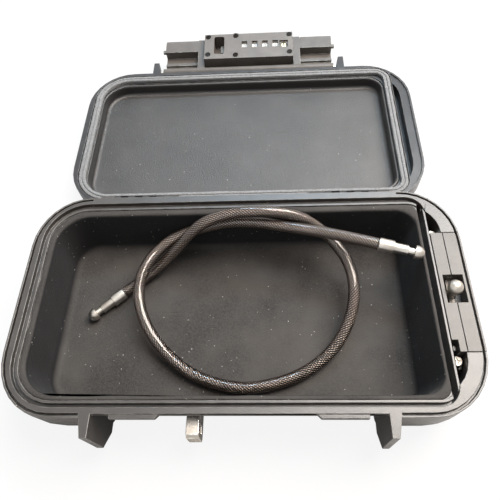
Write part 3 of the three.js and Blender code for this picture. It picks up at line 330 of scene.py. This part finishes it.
coat(strands, steel_wire)

for piece in (jacket, strands):
    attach(piece, "base")
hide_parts("security_cable")

# Cable fittings: nickel-plated steel sleeves crimped on the strands, each with a waist that
# the fork drops over and a rounded head that goes into a port of the cable lock.
left_tip = Vector((-0.0880, -0.0010, 0.0134))
right_tip = Vector((0.0982, 0.0192, 0.0439))
fitting_gap = 0.0003
fitting_profile = [
    (0.0000, 0.0000), (0.0034, 0.0000), (0.0036, 0.0002), (0.0036, 0.0076), (0.0034, 0.0080),
    (0.0029, 0.0081), (0.0028, 0.0083), (0.0028, 0.0153), (0.0026, 0.0156), (0.0020, 0.0157),
    (0.0020, 0.0189), (0.0036, 0.0190), (0.0038, 0.0192), (0.0038, 0.0205), (0.0035, 0.0216),
    (0.0030, 0.0225), (0.0023, 0.0234), (0.0018, 0.0239), (0.0000, 0.0240),
]
crimp_depth = 0.0004
crimp_start = 0.0086
crimp_end = 0.0148
crimp_narrowness = 6
turned_sides = 48


def turned(name, profile, start, toward):
    """A round piece about an axis, from its profile of radius and distance along."""
    axis = toward.normalized()
    side = axis.orthogonal().normalized()
    other = axis.cross(side)
    points = []
    faces = []
    rows = []
    for reach, along in profile:
        centre = start + axis * along
        if reach == 0:
            rows.append([len(points)] * turned_sides)
            points.append(centre)
            continue
        rows.append(list(range(len(points), len(points) + turned_sides)))
        for corner in range(turned_sides):
            angle = corner / turned_sides * 2 * math.pi
            points.append(centre + reach * (math.cos(angle) * side + math.sin(angle) * other))
    for low, high in zip(rows, rows[1:]):
        for corner in range(turned_sides):
            following = (corner + 1) % turned_sides
            face = [low[corner], low[following], high[following], high[corner]]
            faces.append(list(dict.fromkeys(face)))
    mesh = bpy.data.meshes.new(name)
    mesh.from_pydata([tuple(p) for p in points], [], faces)
    return made(name, mesh)


def shader_group(name, inputs, outputs):
    """A shader node group with its sockets, and its own input and output nodes."""
    group = bpy.data.node_groups.new(name, "ShaderNodeTree")
    for label, value in inputs:
        socket = group.interface.new_socket(
            label, in_out="INPUT", socket_type="NodeSocketFloat")
        socket.default_value = value
    for label in outputs:
        group.interface.new_socket(label, in_out="OUTPUT", socket_type="NodeSocketFloat")
    return group, group.nodes.new("NodeGroupInput"), group.nodes.new("NodeGroupOutput")


# The grain's clouds are this many times as wide as the grain itself
cloud_width = 28.0
grain_group, grain_in, grain_out = shader_group(
    "fine grain", [("Scale", 1500.0), ("Softness", 0.5)], ["Height", "Cloud"])
grain_place = wire(grain_group, "ShaderNodeTexCoord").outputs["Object"]
grain_noise = wire(grain_group, "ShaderNodeTexNoise", [("Vector", grain_place), ("Detail", 3.0)])
feed(grain_group, grain_noise,
     Scale=grain_in.outputs["Scale"],
     Roughness=grain_in.outputs["Softness"])
grain_cloud = wire(grain_group, "ShaderNodeTexNoise", [("Vector", grain_place), ("Detail", 5.0)])
feed(grain_group, grain_cloud,
     Scale=sum_of(grain_group, "DIVIDE", grain_in.outputs["Scale"], cloud_width))
feed(grain_group, grain_out,
     Height=grain_noise.outputs["Fac"],
     Cloud=between(grain_group, grain_cloud.outputs["Fac"], low=0.35, high=0.68))

# Edge mask: the rounded edges in patches, which the materials lighten partly as wear and partly
# as painted highlight
edge_wear_and_highlight_group, edge_group_in, edge_group_out = shader_group(
    "worn and highlit edges", [("Amount", 0.5), ("Patches", 300.0)], ["Mask"])
rounded_edge_mark = wire(edge_wear_and_highlight_group, "ShaderNodeAttribute", attribute_name="rounded_edge")
edge_patch_noise = wire(edge_wear_and_highlight_group, "ShaderNodeTexNoise", [("Detail", 4.0)])
feed(edge_wear_and_highlight_group, edge_patch_noise,
     Vector=wire(edge_wear_and_highlight_group, "ShaderNodeTexCoord").outputs["Object"],
     Scale=edge_group_in.outputs["Patches"])
edge_patch = between(edge_wear_and_highlight_group, edge_patch_noise.outputs["Fac"], low=0.35, high=0.65)
edge_wear_and_highlight_mask = sum_of(edge_wear_and_highlight_group, "MULTIPLY", rounded_edge_mark.outputs["Fac"], edge_patch)
feed(edge_wear_and_highlight_group, edge_group_out,
     Mask=sum_of(edge_wear_and_highlight_group, "MULTIPLY", edge_wear_and_highlight_mask, edge_group_in.outputs["Amount"], clamp=True))


def effect(tree, group, **values):
    """A shader node group placed in a material with its own values."""
    node = wire(tree, "ShaderNodeGroup", node_tree=group)
    for label, value in values.items():
        node.inputs[label].default_value = value
    return node


dull_share = 1.6
bright_share = 0.8
scratch_relief = 0.00004


def bright_metal(name, colour, dark, roughness, edge_wear_and_highlight=(0.9, 0.88, 0.84)):
    """Plated or turned metal with fine scratches, dull clouds and bright edges that are partly
    rubbed wear and partly painted highlight.
    """
    material, tree, shader = finish_for(name, Metallic=1.0)
    grain = effect(tree, grain_group, Scale=2200.0, Softness=0.7)
    worn_and_lit = effect(tree, edge_wear_and_highlight_group, Amount=0.8, Patches=500.0)
    stained = tint(tree, grain.outputs["Cloud"], dark, colour)
    feed(tree, shader,
         # Rounded edges take the bright edge colour: partly wear, partly painted highlight
         Base_Color=tint(tree, worn_and_lit.outputs["Mask"], stained, edge_wear_and_highlight),
         Roughness=between(tree, grain.outputs["Cloud"], low=0.0, high=1.0,
                           first=roughness * dull_share, last=roughness * bright_share))
    raised(tree, shader, grain.outputs["Height"], scratch_relief)
    return material


nickel = bright_metal(
    "nickel_plate", colour=(0.74, 0.71, 0.66), dark=(0.42, 0.38, 0.33), roughness=0.26)
fittings = [
    ("fitting_left", "cable_end_left", cable_line[0], left_tip),
    ("fitting_right", "cable_end_right", cable_line[-1], right_tip),
]
for name, node, start, tip in fittings:
    toward = (tip - start).normalized()
    pressed_side = toward.orthogonal().normalized()
    fitting = turned(name, fitting_profile, start + toward * fitting_gap, toward)
    for vertex in fitting.data.vertices:
        along = (vertex.co - start).dot(toward)
        if crimp_start < along - fitting_gap < crimp_end:
            outward = (vertex.co - start - toward * along).normalized()
            press = abs(outward.dot(pressed_side)) ** crimp_narrowness
            vertex.co -= outward * crimp_depth * press
    coat(fitting, nickel)
    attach(fitting, "base")
    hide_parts(node)

# Base shell: one moulding of black plastic with a flat flange, a groove inside its outer lip,
# a channel round the seal's tongue, two fins in front and the hinge knuckles at the back.
shell_edge = 0.0003
merge_distance = 1e-6
flat_angle = math.radians(0.5)
edge_angle = math.radians(32)


def finished(node, name, edge, body, material):
    """A finished copy of a CAD solid: its flat faces merged and its edges rounded."""
    mesh = bpy.data.meshes.new(name)
    build = bmesh.new()
    build.from_mesh(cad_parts[node].data)
    bmesh.ops.remove_doubles(build, verts=build.verts, dist=merge_distance)
    bmesh.ops.dissolve_limit(
        build, angle_limit=flat_angle, verts=build.verts, edges=build.edges)
    sharp = [e for e in build.edges if e.is_manifold and e.calc_face_angle() > edge_angle]
    rounded = bmesh.ops.bevel(
        build, geom=sharp, offset=edge, segments=3, profile=0.5, affect="EDGES",
        clamp_overlap=False)
    worn_and_lit = build.loops.layers.float.new("rounded_edge")
    for face in rounded["faces"]:
        for loop in face.loops:
            loop[worn_and_lit] = 1.0
    build.to_mesh(mesh)
    build.free()
    # The normals that came with the solid no longer fit its rounded edges
    if "custom_normal" in mesh.attributes:
        mesh.attributes.remove(mesh.attributes["custom_normal"])
    piece = made(name, mesh)
    flats = piece.modifiers.new("flat faces stay flat", "WEIGHTED_NORMAL")
    flats.keep_sharp = True
    coat(piece, material)
    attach(piece, body)
    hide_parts(node)
    return piece


speck_wander = 0.0006
speck_least = 0.03
speck_spread = 0.13
dust_group, dust_in, dust_out = shader_group(
    "dust specks", [("Scale", 350.0), ("Share", 0.05)], ["Mask"])
dust_place = wire(dust_group, "ShaderNodeTexCoord").outputs["Object"]
dust_bend = wire(dust_group, "ShaderNodeTexNoise", [("Vector", dust_place), ("Scale", 900.0)])
dust_shift = wire(dust_group, "ShaderNodeVectorMath",
                  [(0, dust_bend.outputs["Color"]), (3, speck_wander)], operation="SCALE")
dust_moved = wire(dust_group, "ShaderNodeVectorMath",
                  [(0, dust_place), (1, dust_shift.outputs[0])], operation="ADD")
dust_cell = wire(dust_group, "ShaderNodeTexVoronoi", [("Vector", dust_moved.outputs[0])])
feed(dust_group, dust_cell, Scale=dust_in.outputs["Scale"])
dust_pick = wire(dust_group, "ShaderNodeSeparateColor", [(0, dust_cell.outputs["Color"])])
dust_keep = sum_of(dust_group, "LESS_THAN", dust_pick.outputs[0], dust_in.outputs["Share"])
dust_size = sum_of(dust_group, "MULTIPLY_ADD", dust_pick.outputs[1], speck_spread, speck_least)
dust_near = sum_of(dust_group, "LESS_THAN", dust_cell.outputs["Distance"], dust_size)
feed(dust_group, dust_out, Mask=sum_of(dust_group, "MULTIPLY", dust_keep, dust_near))

plastic_dust = (0.42, 0.4, 0.36)
gloss_spread = 0.07


def moulded(name, colour, sheen_colour, roughness, relief, dusty,
            edge_wear_and_highlight_colour=(0.2, 0.19, 0.175), gloss=0.8):
    """Moulded plastic with a fine spark-eroded texture, edges lightened partly by rubbed wear and
    partly by painted highlight, and stray dust.
    """
    material, tree, shader = finish_for(name, Specular_IOR_Level=gloss)
    grain = effect(tree, grain_group, Scale=2600.0, Softness=0.6)
    worn_and_lit = effect(tree, edge_wear_and_highlight_group, Amount=0.55, Patches=260.0)
    dust = effect(tree, dust_group, Scale=330.0, Share=dusty)
    body_colour = tint(tree, grain.outputs["Cloud"], colour, sheen_colour)
    # Rounded edges take the lighter edge colour: partly wear, partly painted highlight
    edge_wear_and_highlight = tint(tree, worn_and_lit.outputs["Mask"], body_colour, edge_wear_and_highlight_colour)
    feed(tree, shader,
         Base_Color=tint(tree, dust.outputs["Mask"], edge_wear_and_highlight, plastic_dust),
         Roughness=between(tree, grain.outputs["Height"], low=0.25, high=0.75,
                           first=roughness - gloss_spread, last=roughness + gloss_spread))
    raised(tree, shader, grain.outputs["Height"], relief)
    return material


case_plastic = moulded(
    "case_plastic", colour=(0.026, 0.022, 0.019), sheen_colour=(0.042, 0.036, 0.032),
    roughness=0.4, relief=0.00006, dusty=0.03)
finished("base_shell", "case_base", shell_edge, "base", case_plastic)

# Foam liner of the base: a soft tray pressed from thin closed-cell foam sheet, glued into the
# base, with soft top edges, sloping walls and a wide round where walls and floor meet.
# Pairs give its left and right side, and brim_reach gives left, right, front and back.
foam_low, foam_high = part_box("base_foam_liner")
foam_wall = 0.0022
foam_rounds = (0.018, 0.0105)
foam_drafts = (0.0015, 0.005)
foam_fillet = 0.0045
brim_reach = (0.0016, 0.0, 0.0003, 0.0019)
brim_rounds = (0.0202, 0.006)
brim_rise = 0.0006
brim_profile = [(0.0, -0.65), (0.0, -0.45), (0.06, -0.22), (0.16, -0.08), (0.32, 0.0),
                (0.5, 0.0), (0.66, -0.1), (0.8, -0.35), (0.9, -0.75), (0.97, -1.3), (1.0, -2.0)]
millimetre = 0.001
least_round = 0.001
corner_steps = 12
side_steps = 26
wall_rows = 15
first_wall_row = 0.2
fillet_rows = 8
floor_rows = 8
floor_middle = 0.012
floor_spacing = 1.3


def rounded_outline(left, right, front, back, left_round, right_round, z):
    """Points round a rectangle with round corners, spread evenly along its sides too."""
    corners = [
        (right - right_round, front + right_round, right_round, -90),
        (right - right_round, back - right_round, right_round, 0),
        (left + left_round, back - left_round, left_round, 90),
        (left + left_round, front + left_round, left_round, 180),
    ]
    arcs = []
    for x, y, reach, start in corners:
        arc = []
        for step in range(corner_steps + 1):
            angle = math.radians(start + 90 * step / corner_steps)
            arc.append(Vector((x + reach * math.cos(angle), y + reach * math.sin(angle), z)))
        arcs.append(arc)
    points = []
    for place, arc in enumerate(arcs):
        points += arc
        following = arcs[(place + 1) % len(arcs)][0]
        points += [arc[-1].lerp(following, step / side_steps) for step in range(1, side_steps)]
    return points


def foam_tray(name, low, high, rounds, drafts, fillet, reach, edge_rounds, rise):
    """A foam tray with a soft rolled brim that reaches out over the ledge round its mouth."""
    draft, draft_right = drafts
    depth = high.z - low.z
    left_out, right_out, front_out, back_out = reach
    mouth = brim_profile[-1][1] * millimetre + rise

    def ring(inset, share, z):
        pull = draft * share + inset
        pull_right = draft_right * share + inset
        return rounded_outline(
            low.x + pull, high.x - pull_right, low.y + pull, high.y - pull,
            max(rounds[0] + foam_wall - pull, least_round),
            max(rounds[1] + foam_wall - pull, least_round), z,
        )

    def brim_ring(share, z):
        out = 1 - share
        inset = foam_wall * share
        return rounded_outline(
            low.x - left_out * out + inset, high.x + right_out * out - inset,
            low.y - front_out * out + inset, high.y + back_out * out - inset,
            edge_rounds[0] * out + rounds[0] * share, edge_rounds[1] * out + rounds[1] * share, z,
        )

    under = high.z + rise + brim_profile[0][1] * millimetre
    rings = [
        ring(foam_wall * 0.5, 1, low.z),
        ring(0, 1, low.z + foam_wall * 0.5),
        ring(0, 0, under),
    ]
    rings += [brim_ring(share, high.z + rise + up * millimetre) for share, up in brim_profile]
    floor_depth = depth - foam_wall
    wall_height = floor_depth - fillet + mouth
    for step in range(wall_rows):
        share = max(step, first_wall_row) / wall_rows
        rings.append(ring(foam_wall, share, high.z + mouth - wall_height * share))
    for step in range(1, fillet_rows):
        angle = step / fillet_rows * math.pi / 2
        inset = foam_wall + fillet * (1 - math.cos(angle))
        rings.append(ring(inset, 1, high.z - floor_depth + fillet * (1 - math.sin(angle))))
    half = min(high.x - low.x, high.y - low.y) / 2
    for step in range(floor_rows + 1):
        shrink = (half - floor_middle) * (step / floor_rows) ** floor_spacing
        rings.append(ring(foam_wall + fillet + shrink, 1, high.z - floor_depth))
    return skin(name, rings)


def dimpled(piece, seed, height, scale, sink=0.2):
    """Moves a soft piece's points a little in and out, as foam settles, and marks each point
    with how far it faces up."""
    offset = Vector((seed, 2 * seed, 3 * seed))
    for vertex in piece.data.vertices:
        vertex.co += vertex.normal * height * (noise.noise(vertex.co * scale + offset) - sink)
    faces_up = piece.data.attributes.new("faces_up", "FLOAT", "POINT")
    for vertex in piece.data.vertices:
        faces_up.data[vertex.index].value = vertex.normal.z


foam_relief = 0.0003
foam_lint = (0.5, 0.49, 0.46)


def foam_material(name, shaded_wall, colour, pale, roughness, gloss, lint):
    """Dense black foam with a velvety skin: walls darkened by painted shade, what faces up
    lighter from dust and painted light, and lint.
    """
    material, tree, shader = finish_for(
        name, Roughness=roughness, Specular_IOR_Level=gloss,
        Sheen_Weight=0.06, Sheen_Roughness=0.45)
    grain = effect(tree, grain_group, Scale=1150.0, Softness=0.75)
    dust = effect(tree, dust_group, Scale=620.0, Share=lint)
    skin_colour = tint(tree, grain.outputs["Cloud"], colour, pale)
    pores = between(tree, grain.outputs["Height"], low=0.4, high=0.7)
    dusty = tint(tree, pores, skin_colour, pale)
    upward = wire(tree, "ShaderNodeAttribute", attribute_name="faces_up").outputs["Fac"]
    # Painted light and shade: what faces up gets the lighter dusty colour, the walls the darker
    # shaded one
    floor_and_shaded_wall = tint(tree, between(tree, upward, low=0.4, high=0.95), shaded_wall, dusty)
    feed(tree, shader, Base_Color=tint(tree, dust.outputs["Mask"], floor_and_shaded_wall, foam_lint))
    raised(tree, shader, grain.outputs["Height"], foam_relief)
    return material


# The wall colour is painted shade, darker than what faces up
base_foam = foam_material(
    "base_foam", shaded_wall=(0.006, 0.0056, 0.006), colour=(0.021, 0.0188, 0.0173),
    pale=(0.054, 0.049, 0.045), roughness=0.78, gloss=0.3, lint=0.13)
base_liner = foam_tray("foam_tray", foam_low, foam_high, foam_rounds, foam_drafts, foam_fillet,
                       brim_reach, brim_rounds, brim_rise)
dimpled(base_liner, seed=3.1, height=0.00035, scale=90)
coat(base_liner, base_foam)
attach(base_liner, "base")
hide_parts("base_foam_liner")

# Cable lock in the right wall: two satin plastic halves that meet at a seam along the middle
# of the flange, with an ear for a screw at each end.
lock_edge = 0.00022
lock_plastic = moulded(
    "lock_plastic", colour=(0.06, 0.053, 0.047), sheen_colour=(0.085, 0.076, 0.068),
    roughness=0.42, relief=0.00005, dusty=0.01, gloss=0.5)
for half in ("inner", "outer"):
    finished(f"cable_lock_{half}", f"cable_lock_body_{half}", lock_edge,
             "base", lock_plastic)

# Ear screws: two nickel-plated steel screws with cross slots, driven through the ears of the
# cable lock into the flange.
ear_screw_edge = 0.00015
for side in ("front", "back"):
    finished(f"cable_lock_screw_{side}", f"ear_screw_{side}", ear_screw_edge,
             "base", nickel)

# Plunger of the cable lock: a ball head and a round stem, turned from one piece of steel and
# nickel-plated. The closing lid presses it down.
ball_low, ball_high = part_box("cable_plunger")
ball_radius = (ball_high.x - ball_low.x) / 2
stem_radius = 0.0027
ball_steps = 24
ball_centre = Vector(((ball_low.x + ball_high.x) / 2, (ball_low.y + ball_high.y) / 2, 0))
ball_middle = ball_high.z - ball_radius
ball_profile = [(0.0, ball_low.z), (stem_radius, ball_low.z)]
meeting = math.sqrt(ball_radius ** 2 - stem_radius ** 2)
first_angle = math.atan2(-meeting, stem_radius)
for step in range(ball_steps + 1):
    angle = first_angle + (math.pi / 2 - first_angle) * step / ball_steps
    reach = ball_radius * math.cos(angle) if step < ball_steps else 0.0
    ball_profile.append((reach, ball_middle + ball_radius * math.sin(angle)))
ball = turned("plunger_ball", ball_profile, ball_centre, Vector((0, 0, 1)))
coat(ball, nickel)
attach(ball, "plunger")
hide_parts("cable_plunger")

# Fork plate: dull steel, pressed from sheet with two slots, fixed under the plunger's stem.
# It drops over the waists of the cable's fittings and holds them.
fork_edge = 0.0002
dull_steel = bright_metal(
    "dull_steel", colour=(0.2, 0.185, 0.17), dark=(0.1, 0.09, 0.08), roughness=0.45,
    edge_wear_and_highlight=(0.3, 0.28, 0.26))
finished("cable_fork", "fork_plate", fork_edge, "plunger", dull_steel)

# Plunger spring: a small coil of dull steel wire that stands in the base and lifts the
# plunger and its fork.
spring_edge = 0.00005
coil = finished("plunger_spring", "coil_under_ball", spring_edge, "base",
                dull_steel)
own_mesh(coil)

# Lock staple: a nickel-plated steel tongue that stands out through the front wall, with its
# tip chamfered and a notch in its right side for the bolt.
staple_edge = 0.0004
finished("lock_staple", "staple", staple_edge, "base", nickel)

# Lid shell: the second black moulding, lying open on its back behind the base, with hinge
# barrels on the near edge and two lugs for the latch on the far edge.
lid_plastic = moulded(
    "lid_plastic", colour=(0.022, 0.022, 0.023), sheen_colour=(0.034, 0.034, 0.036),
    roughness=0.36, relief=0.00005, dusty=0.02, gloss=0.5)
finished("lid_shell", "case_lid", shell_edge, "lid", lid_plastic)

# Pins and shaft: plain nickel-plated steel rods, pushed into their bores. Two join the lid to
# the hinge knuckles, two hold the latch in the lid's lugs, and the shaft carries the dials.
for node in ("hinge_pin_right", "hinge_pin_left", "latch_pin_right", "latch_pin_left",
             "dial_shaft"):
    coat(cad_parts[node], nickel)

# Foam liner of the lid: a shallow tray pressed from the same foam sheet and glued into the
# lid, with upright walls and a skin that is a little glossier than in the base.
lid_foam_low, lid_foam_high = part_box("lid_foam_liner")
lid_foam_rounds = (0.017, 0.011)
lid_foam_fillet = 0.0025
lid_brim_rounds = (0.0192, 0.0132)
# The wall colour is painted shade, darker than what faces up
lid_foam = foam_material(
    "lid_foam", shaded_wall=(0.01, 0.009, 0.009), colour=(0.021, 0.019, 0.0175),
    pale=(0.04, 0.0365, 0.034), roughness=0.42, gloss=0.62, lint=0.05)
lid_liner = foam_tray(
    "foam_lid_tray", lid_foam_low, lid_foam_high, lid_foam_rounds, drafts=(0.0, 0.0),
    fillet=lid_foam_fillet, reach=(0.0, 0.0, 0.0, 0.0), edge_rounds=lid_brim_rounds, rise=0.0)
dimpled(lid_liner, seed=5.7, height=0.0003, scale=70)
coat(lid_liner, lid_foam)
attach(lid_liner, "lid")
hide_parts("lid_foam_liner")

# Gasket: a soft strip of dusty grey sponge rubber laid round the lid's foam, with the line
# that the tongue of the base has pressed into it.
gasket_low, gasket_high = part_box("lid_gasket")
gasket_width = 0.0048
gasket_round = 0.0234
gasket_round_right = 0.0114
gasket_relief = 0.0003
gasket_section = [(0.0, 0.0), (0.0, 0.7), (0.04, 0.9), (0.12, 1.0), (0.36, 1.0), (0.43, 0.97),
                  (0.5, 0.72), (0.57, 0.97), (0.64, 1.0), (0.88, 1.0), (0.96, 0.9), (1.0, 0.7),
                  (1.0, 0.0)]


def gasket_ring(inset, z):
    return rounded_outline(
        gasket_low.x + inset, gasket_high.x - inset, gasket_low.y + inset, gasket_high.y - inset,
        gasket_round - inset, gasket_round_right - inset, z,
    )


gasket_height = gasket_high.z - gasket_low.z
gasket_rings = [
    gasket_ring(across_share * gasket_width, gasket_low.z + up_share * gasket_height)
    for across_share, up_share in gasket_section
]
strip = skin("gasket_strip", gasket_rings, loop=True)
dimpled(strip, seed=1.3, height=0.00025, scale=260)
rubber_dark = (0.1, 0.1, 0.1)
rubber_pale = (0.3, 0.305, 0.31)
rubber_dust = (0.4, 0.4, 0.4)
sponge, tree, shader = finish_for("sponge_rubber", Roughness=0.8)
grain = effect(tree, grain_group, Scale=1300.0, Softness=0.8)
dust = effect(tree, dust_group, Scale=600.0, Share=0.3)
pores = between(tree, grain.outputs["Height"], low=0.35, high=0.7)
mottled = tint(tree, pores, rubber_dark, rubber_pale)
feed(tree, shader, Base_Color=tint(tree, dust.outputs["Mask"], mottled, rubber_dust))
raised(tree, shader, grain.outputs["Height"], gasket_relief)
coat(strip, sponge)
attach(strip, "lid")
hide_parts("lid_gasket")

# Latch frame: a black moulded flap hinged to the lid's lugs, with a hooked ridge that snaps
# over the base and a bay in its middle for the lock module.
latch_edge = 0.0003
# The pale edge colour paints highlights on the flap's ridges and rounded edges, over a little
# wear
latch_plastic = moulded(
    "latch_plastic", colour=(0.085, 0.075, 0.067), sheen_colour=(0.11, 0.098, 0.088),
    roughness=0.42, relief=0.00004, dusty=0.01, edge_wear_and_highlight_colour=(0.5, 0.52, 0.5), gloss=0.4)
finished("latch_frame", "latch_flap", latch_edge, "latch", latch_plastic)

# Lock module: a box moulded in satin plastic with a screwed-on back plate, open for the
# staple, for the four dials and for the brass screw that sets a new code.
module_edge = 0.0001
plate_edge = 0.00008
module_plastic = moulded(
    "module_plastic", colour=(0.11, 0.098, 0.088), sheen_colour=(0.14, 0.126, 0.113),
    roughness=0.45, relief=0.00003, dusty=0.0, gloss=0.4)
finished("lock_housing", "module_box", module_edge, "latch", module_plastic)
finished("lock_back_plate", "module_plate", plate_edge, "latch", module_plastic)

# Plate screws: six small screws of blackened steel, their round heads sunk into the back
# plate and their shanks driven into the box.
plate_screw_count = 6
plate_screw_edge = 0.00012
black_steel = bright_metal(
    "blackened_steel", colour=(0.022, 0.02, 0.018), dark=(0.012, 0.011, 0.01), roughness=0.5,
    edge_wear_and_highlight=(0.05, 0.046, 0.042))
for place in range(1, plate_screw_count + 1):
    finished(f"plate_screw_{place}", f"module_screw_{place}", plate_screw_edge,
             "latch", black_steel)

# Code screw: a turned brass screw with a slot, which sits in the window beside the dials. A
# quarter turn lets a new code be set.
code_screw_edge = 0.0002
brass = bright_metal(
    "turned_brass", colour=(0.5, 0.4, 0.24), dark=(0.22, 0.17, 0.1), roughness=0.36)
finished("code_change_screw", "code_screw_brass", code_screw_edge, "code_screw", brass)

# Bolt and its spring: a bar of dull steel that slides across the module into the staple's
# notch, and the coil of steel wire beside it that drives it back.
bolt_edge = 0.0002
finished("lock_bolt", "bolt_bar", bolt_edge, "bolt", dull_steel)
coil = finished("bolt_spring", "coil_beside_bolt", spring_edge, "latch",
                dull_steel)
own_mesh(coil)

# Release button: a moulded cap of the cable lock's plastic on the outer face of the module,
# fixed to the bolt, which a finger slides to open the case.
button_edge = 0.0003
finished("release_button", "button_cap", button_edge, "bolt", lock_plastic)

# Number dials: four white plastic wheels with ten flats each, a dark figure on every flat,
# threaded on one steel shaft so that each turns by itself.
dial_count = 4
dial_edge = 0.0002
dial_radius = 0.0068
latch_tilt = math.radians(8)
dial_drop_way = Vector((0, math.cos(latch_tilt), math.sin(latch_tilt)))
dial_depth_way = Vector((0, -math.sin(latch_tilt), math.cos(latch_tilt)))
figure_count = 10
figure_size = 0.0036
figure_rise = 0.00003
figure_seat = 0.9745
dial_relief = 0.00002
white_shade = (0.5, 0.485, 0.455)
white_light = (0.6, 0.585, 0.55)
dial_white, tree, shader = finish_for("dial_white", Roughness=0.35)
grain = effect(tree, grain_group, Scale=900.0, Softness=0.5)
feed(tree, shader, Base_Color=tint(tree, grain.outputs["Cloud"], white_shade, white_light))
raised(tree, shader, grain.outputs["Height"], dial_relief)
ink_dark = (0.05, 0.05, 0.05)
ink_worn = (0.12, 0.12, 0.12)
figure_ink, tree, shader = finish_for("figure_ink", Roughness=0.5)
grain = effect(tree, grain_group, Scale=2400.0, Softness=0.6)
feed(tree, shader, Base_Color=tint(tree, grain.outputs["Height"], ink_dark, ink_worn))
for number in range(1, dial_count + 1):
    finished(f"number_dial_{number}", f"dial_wheel_{number}", dial_edge, f"dial_{number}",
             dial_white)
    wheel_low, wheel_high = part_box(f"number_dial_{number}")
    centre = (wheel_low + wheel_high) / 2
    build = bmesh.new()
    for figure in range(figure_count):
        angle = figure / figure_count * 2 * math.pi
        outward = math.cos(angle) * dial_depth_way - math.sin(angle) * dial_drop_way
        upward = -math.sin(angle) * dial_depth_way - math.cos(angle) * dial_drop_way
        curve = bpy.data.curves.new("figure", "FONT")
        curve.body = str(figure)
        curve.size = figure_size
        curve.extrude = figure_rise
        curve.resolution_u = 3
        curve.align_x = "CENTER"
        curve.align_y = "CENTER"
        text = bpy.data.objects.new("figure", curve)
        bpy.context.scene.collection.objects.link(text)
        text.matrix_world = Matrix.LocRotScale(
            centre + outward * dial_radius * figure_seat,
            Matrix((upward.cross(outward), upward, outward)).transposed().to_quaternion(),
            None,
        )
        bpy.context.view_layer.update()
        drawn = text.evaluated_get(bpy.context.evaluated_depsgraph_get()).to_mesh()
        drawn.transform(text.matrix_world)
        build.from_mesh(drawn)
        bpy.data.objects.remove(text)
    figures_mesh = bpy.data.meshes.new(f"dial_figures_{number}")
    build.to_mesh(figures_mesh)
    build.free()
    figures = made(f"dial_figures_{number}", figures_mesh)
    coat(figures, figure_ink)
    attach(figures, f"dial_{number}")

# Studio: a pale floor that keeps the object's shadow, a wide soft lamp over the right side,
# a cooler one behind the lid, a faint one in front, and a pale world that metal reflects.
floor_reach = 3.0
floor_height = -0.0002
paper_glow = 0.88
world_light = 0.25
floor_mesh = bpy.data.meshes.new("studio_floor")
floor_corners = [(-1, -1), (1, -1), (1, 1), (-1, 1)]
floor_mesh.from_pydata(
    [(x * floor_reach, y * floor_reach, floor_height) for x, y in floor_corners],
    [], [(0, 1, 2, 3)])
floor = bpy.data.objects.new("studio_floor", floor_mesh)
bpy.context.scene.collection.objects.link(floor)
paper, tree, shader = finish_for("white_paper", Base_Color=(0.65, 0.65, 0.65), Roughness=0.9)
ray = wire(tree, "ShaderNodeLightPath")
shine = wire(tree, "ShaderNodeEmission", [("Strength", 1.0)])
share = sum_of(tree, "MULTIPLY", ray.outputs["Is Camera Ray"], paper_glow)
blend = wire(tree, "ShaderNodeMixShader",
             [(0, share), (1, shader.outputs[0]), (2, shine.outputs[0])])
feed(tree, tree.nodes["Material Output"], Surface=blend.outputs[0])
coat(floor, paper)


def lamp(name, place, target, width, depth, watts, colour):
    """A rectangular soft lamp that faces a target."""
    light = bpy.data.lights.new(name, "AREA")
    light.shape = "RECTANGLE"
    light.size = width
    light.size_y = depth
    light.energy = watts
    light.color = colour
    holder = bpy.data.objects.new(name, light)
    holder.location = place
    holder.rotation_mode = "QUATERNION"
    holder.rotation_quaternion = (Vector(target) - Vector(place)).to_track_quat("-Z", "Y")
    bpy.context.scene.collection.objects.link(holder)


lamp("soft_key", place=(0.52, 0.36, 0.98), target=(0.03, 0.02, 0.02),
     width=0.55, depth=1.0, watts=32.0, colour=(1.0, 0.93, 0.865))
lamp("cool_back", place=(0.06, 0.66, 0.86), target=(0.0, 0.1, 0.0),
     width=0.5, depth=0.16, watts=4.6, colour=(0.5, 0.77, 1.0))
lamp("soft_front", place=(-0.25, -0.6, 0.9), target=(0.0, 0.0, 0.0),
     width=0.6, depth=0.6, watts=1.0, colour=(1.0, 0.98, 0.95))

world = bpy.data.worlds.new("studio")
bpy.context.scene.world = world
world.use_nodes = True
tree = world.node_tree
background = tree.nodes["Background"]
background.inputs["Color"].default_value = (1, 1, 1, 1)
ray = wire(tree, "ShaderNodeLightPath")
seen = ray.outputs["Is Camera Ray"]
for kind in ("Is Glossy Ray", "Is Transmission Ray"):
    seen = sum_of(tree, "MAXIMUM", seen, ray.outputs[kind])
strength = between(tree, seen, low=0.0, high=1.0, first=world_light, last=1.0)
feed(tree, background, Strength=strength)
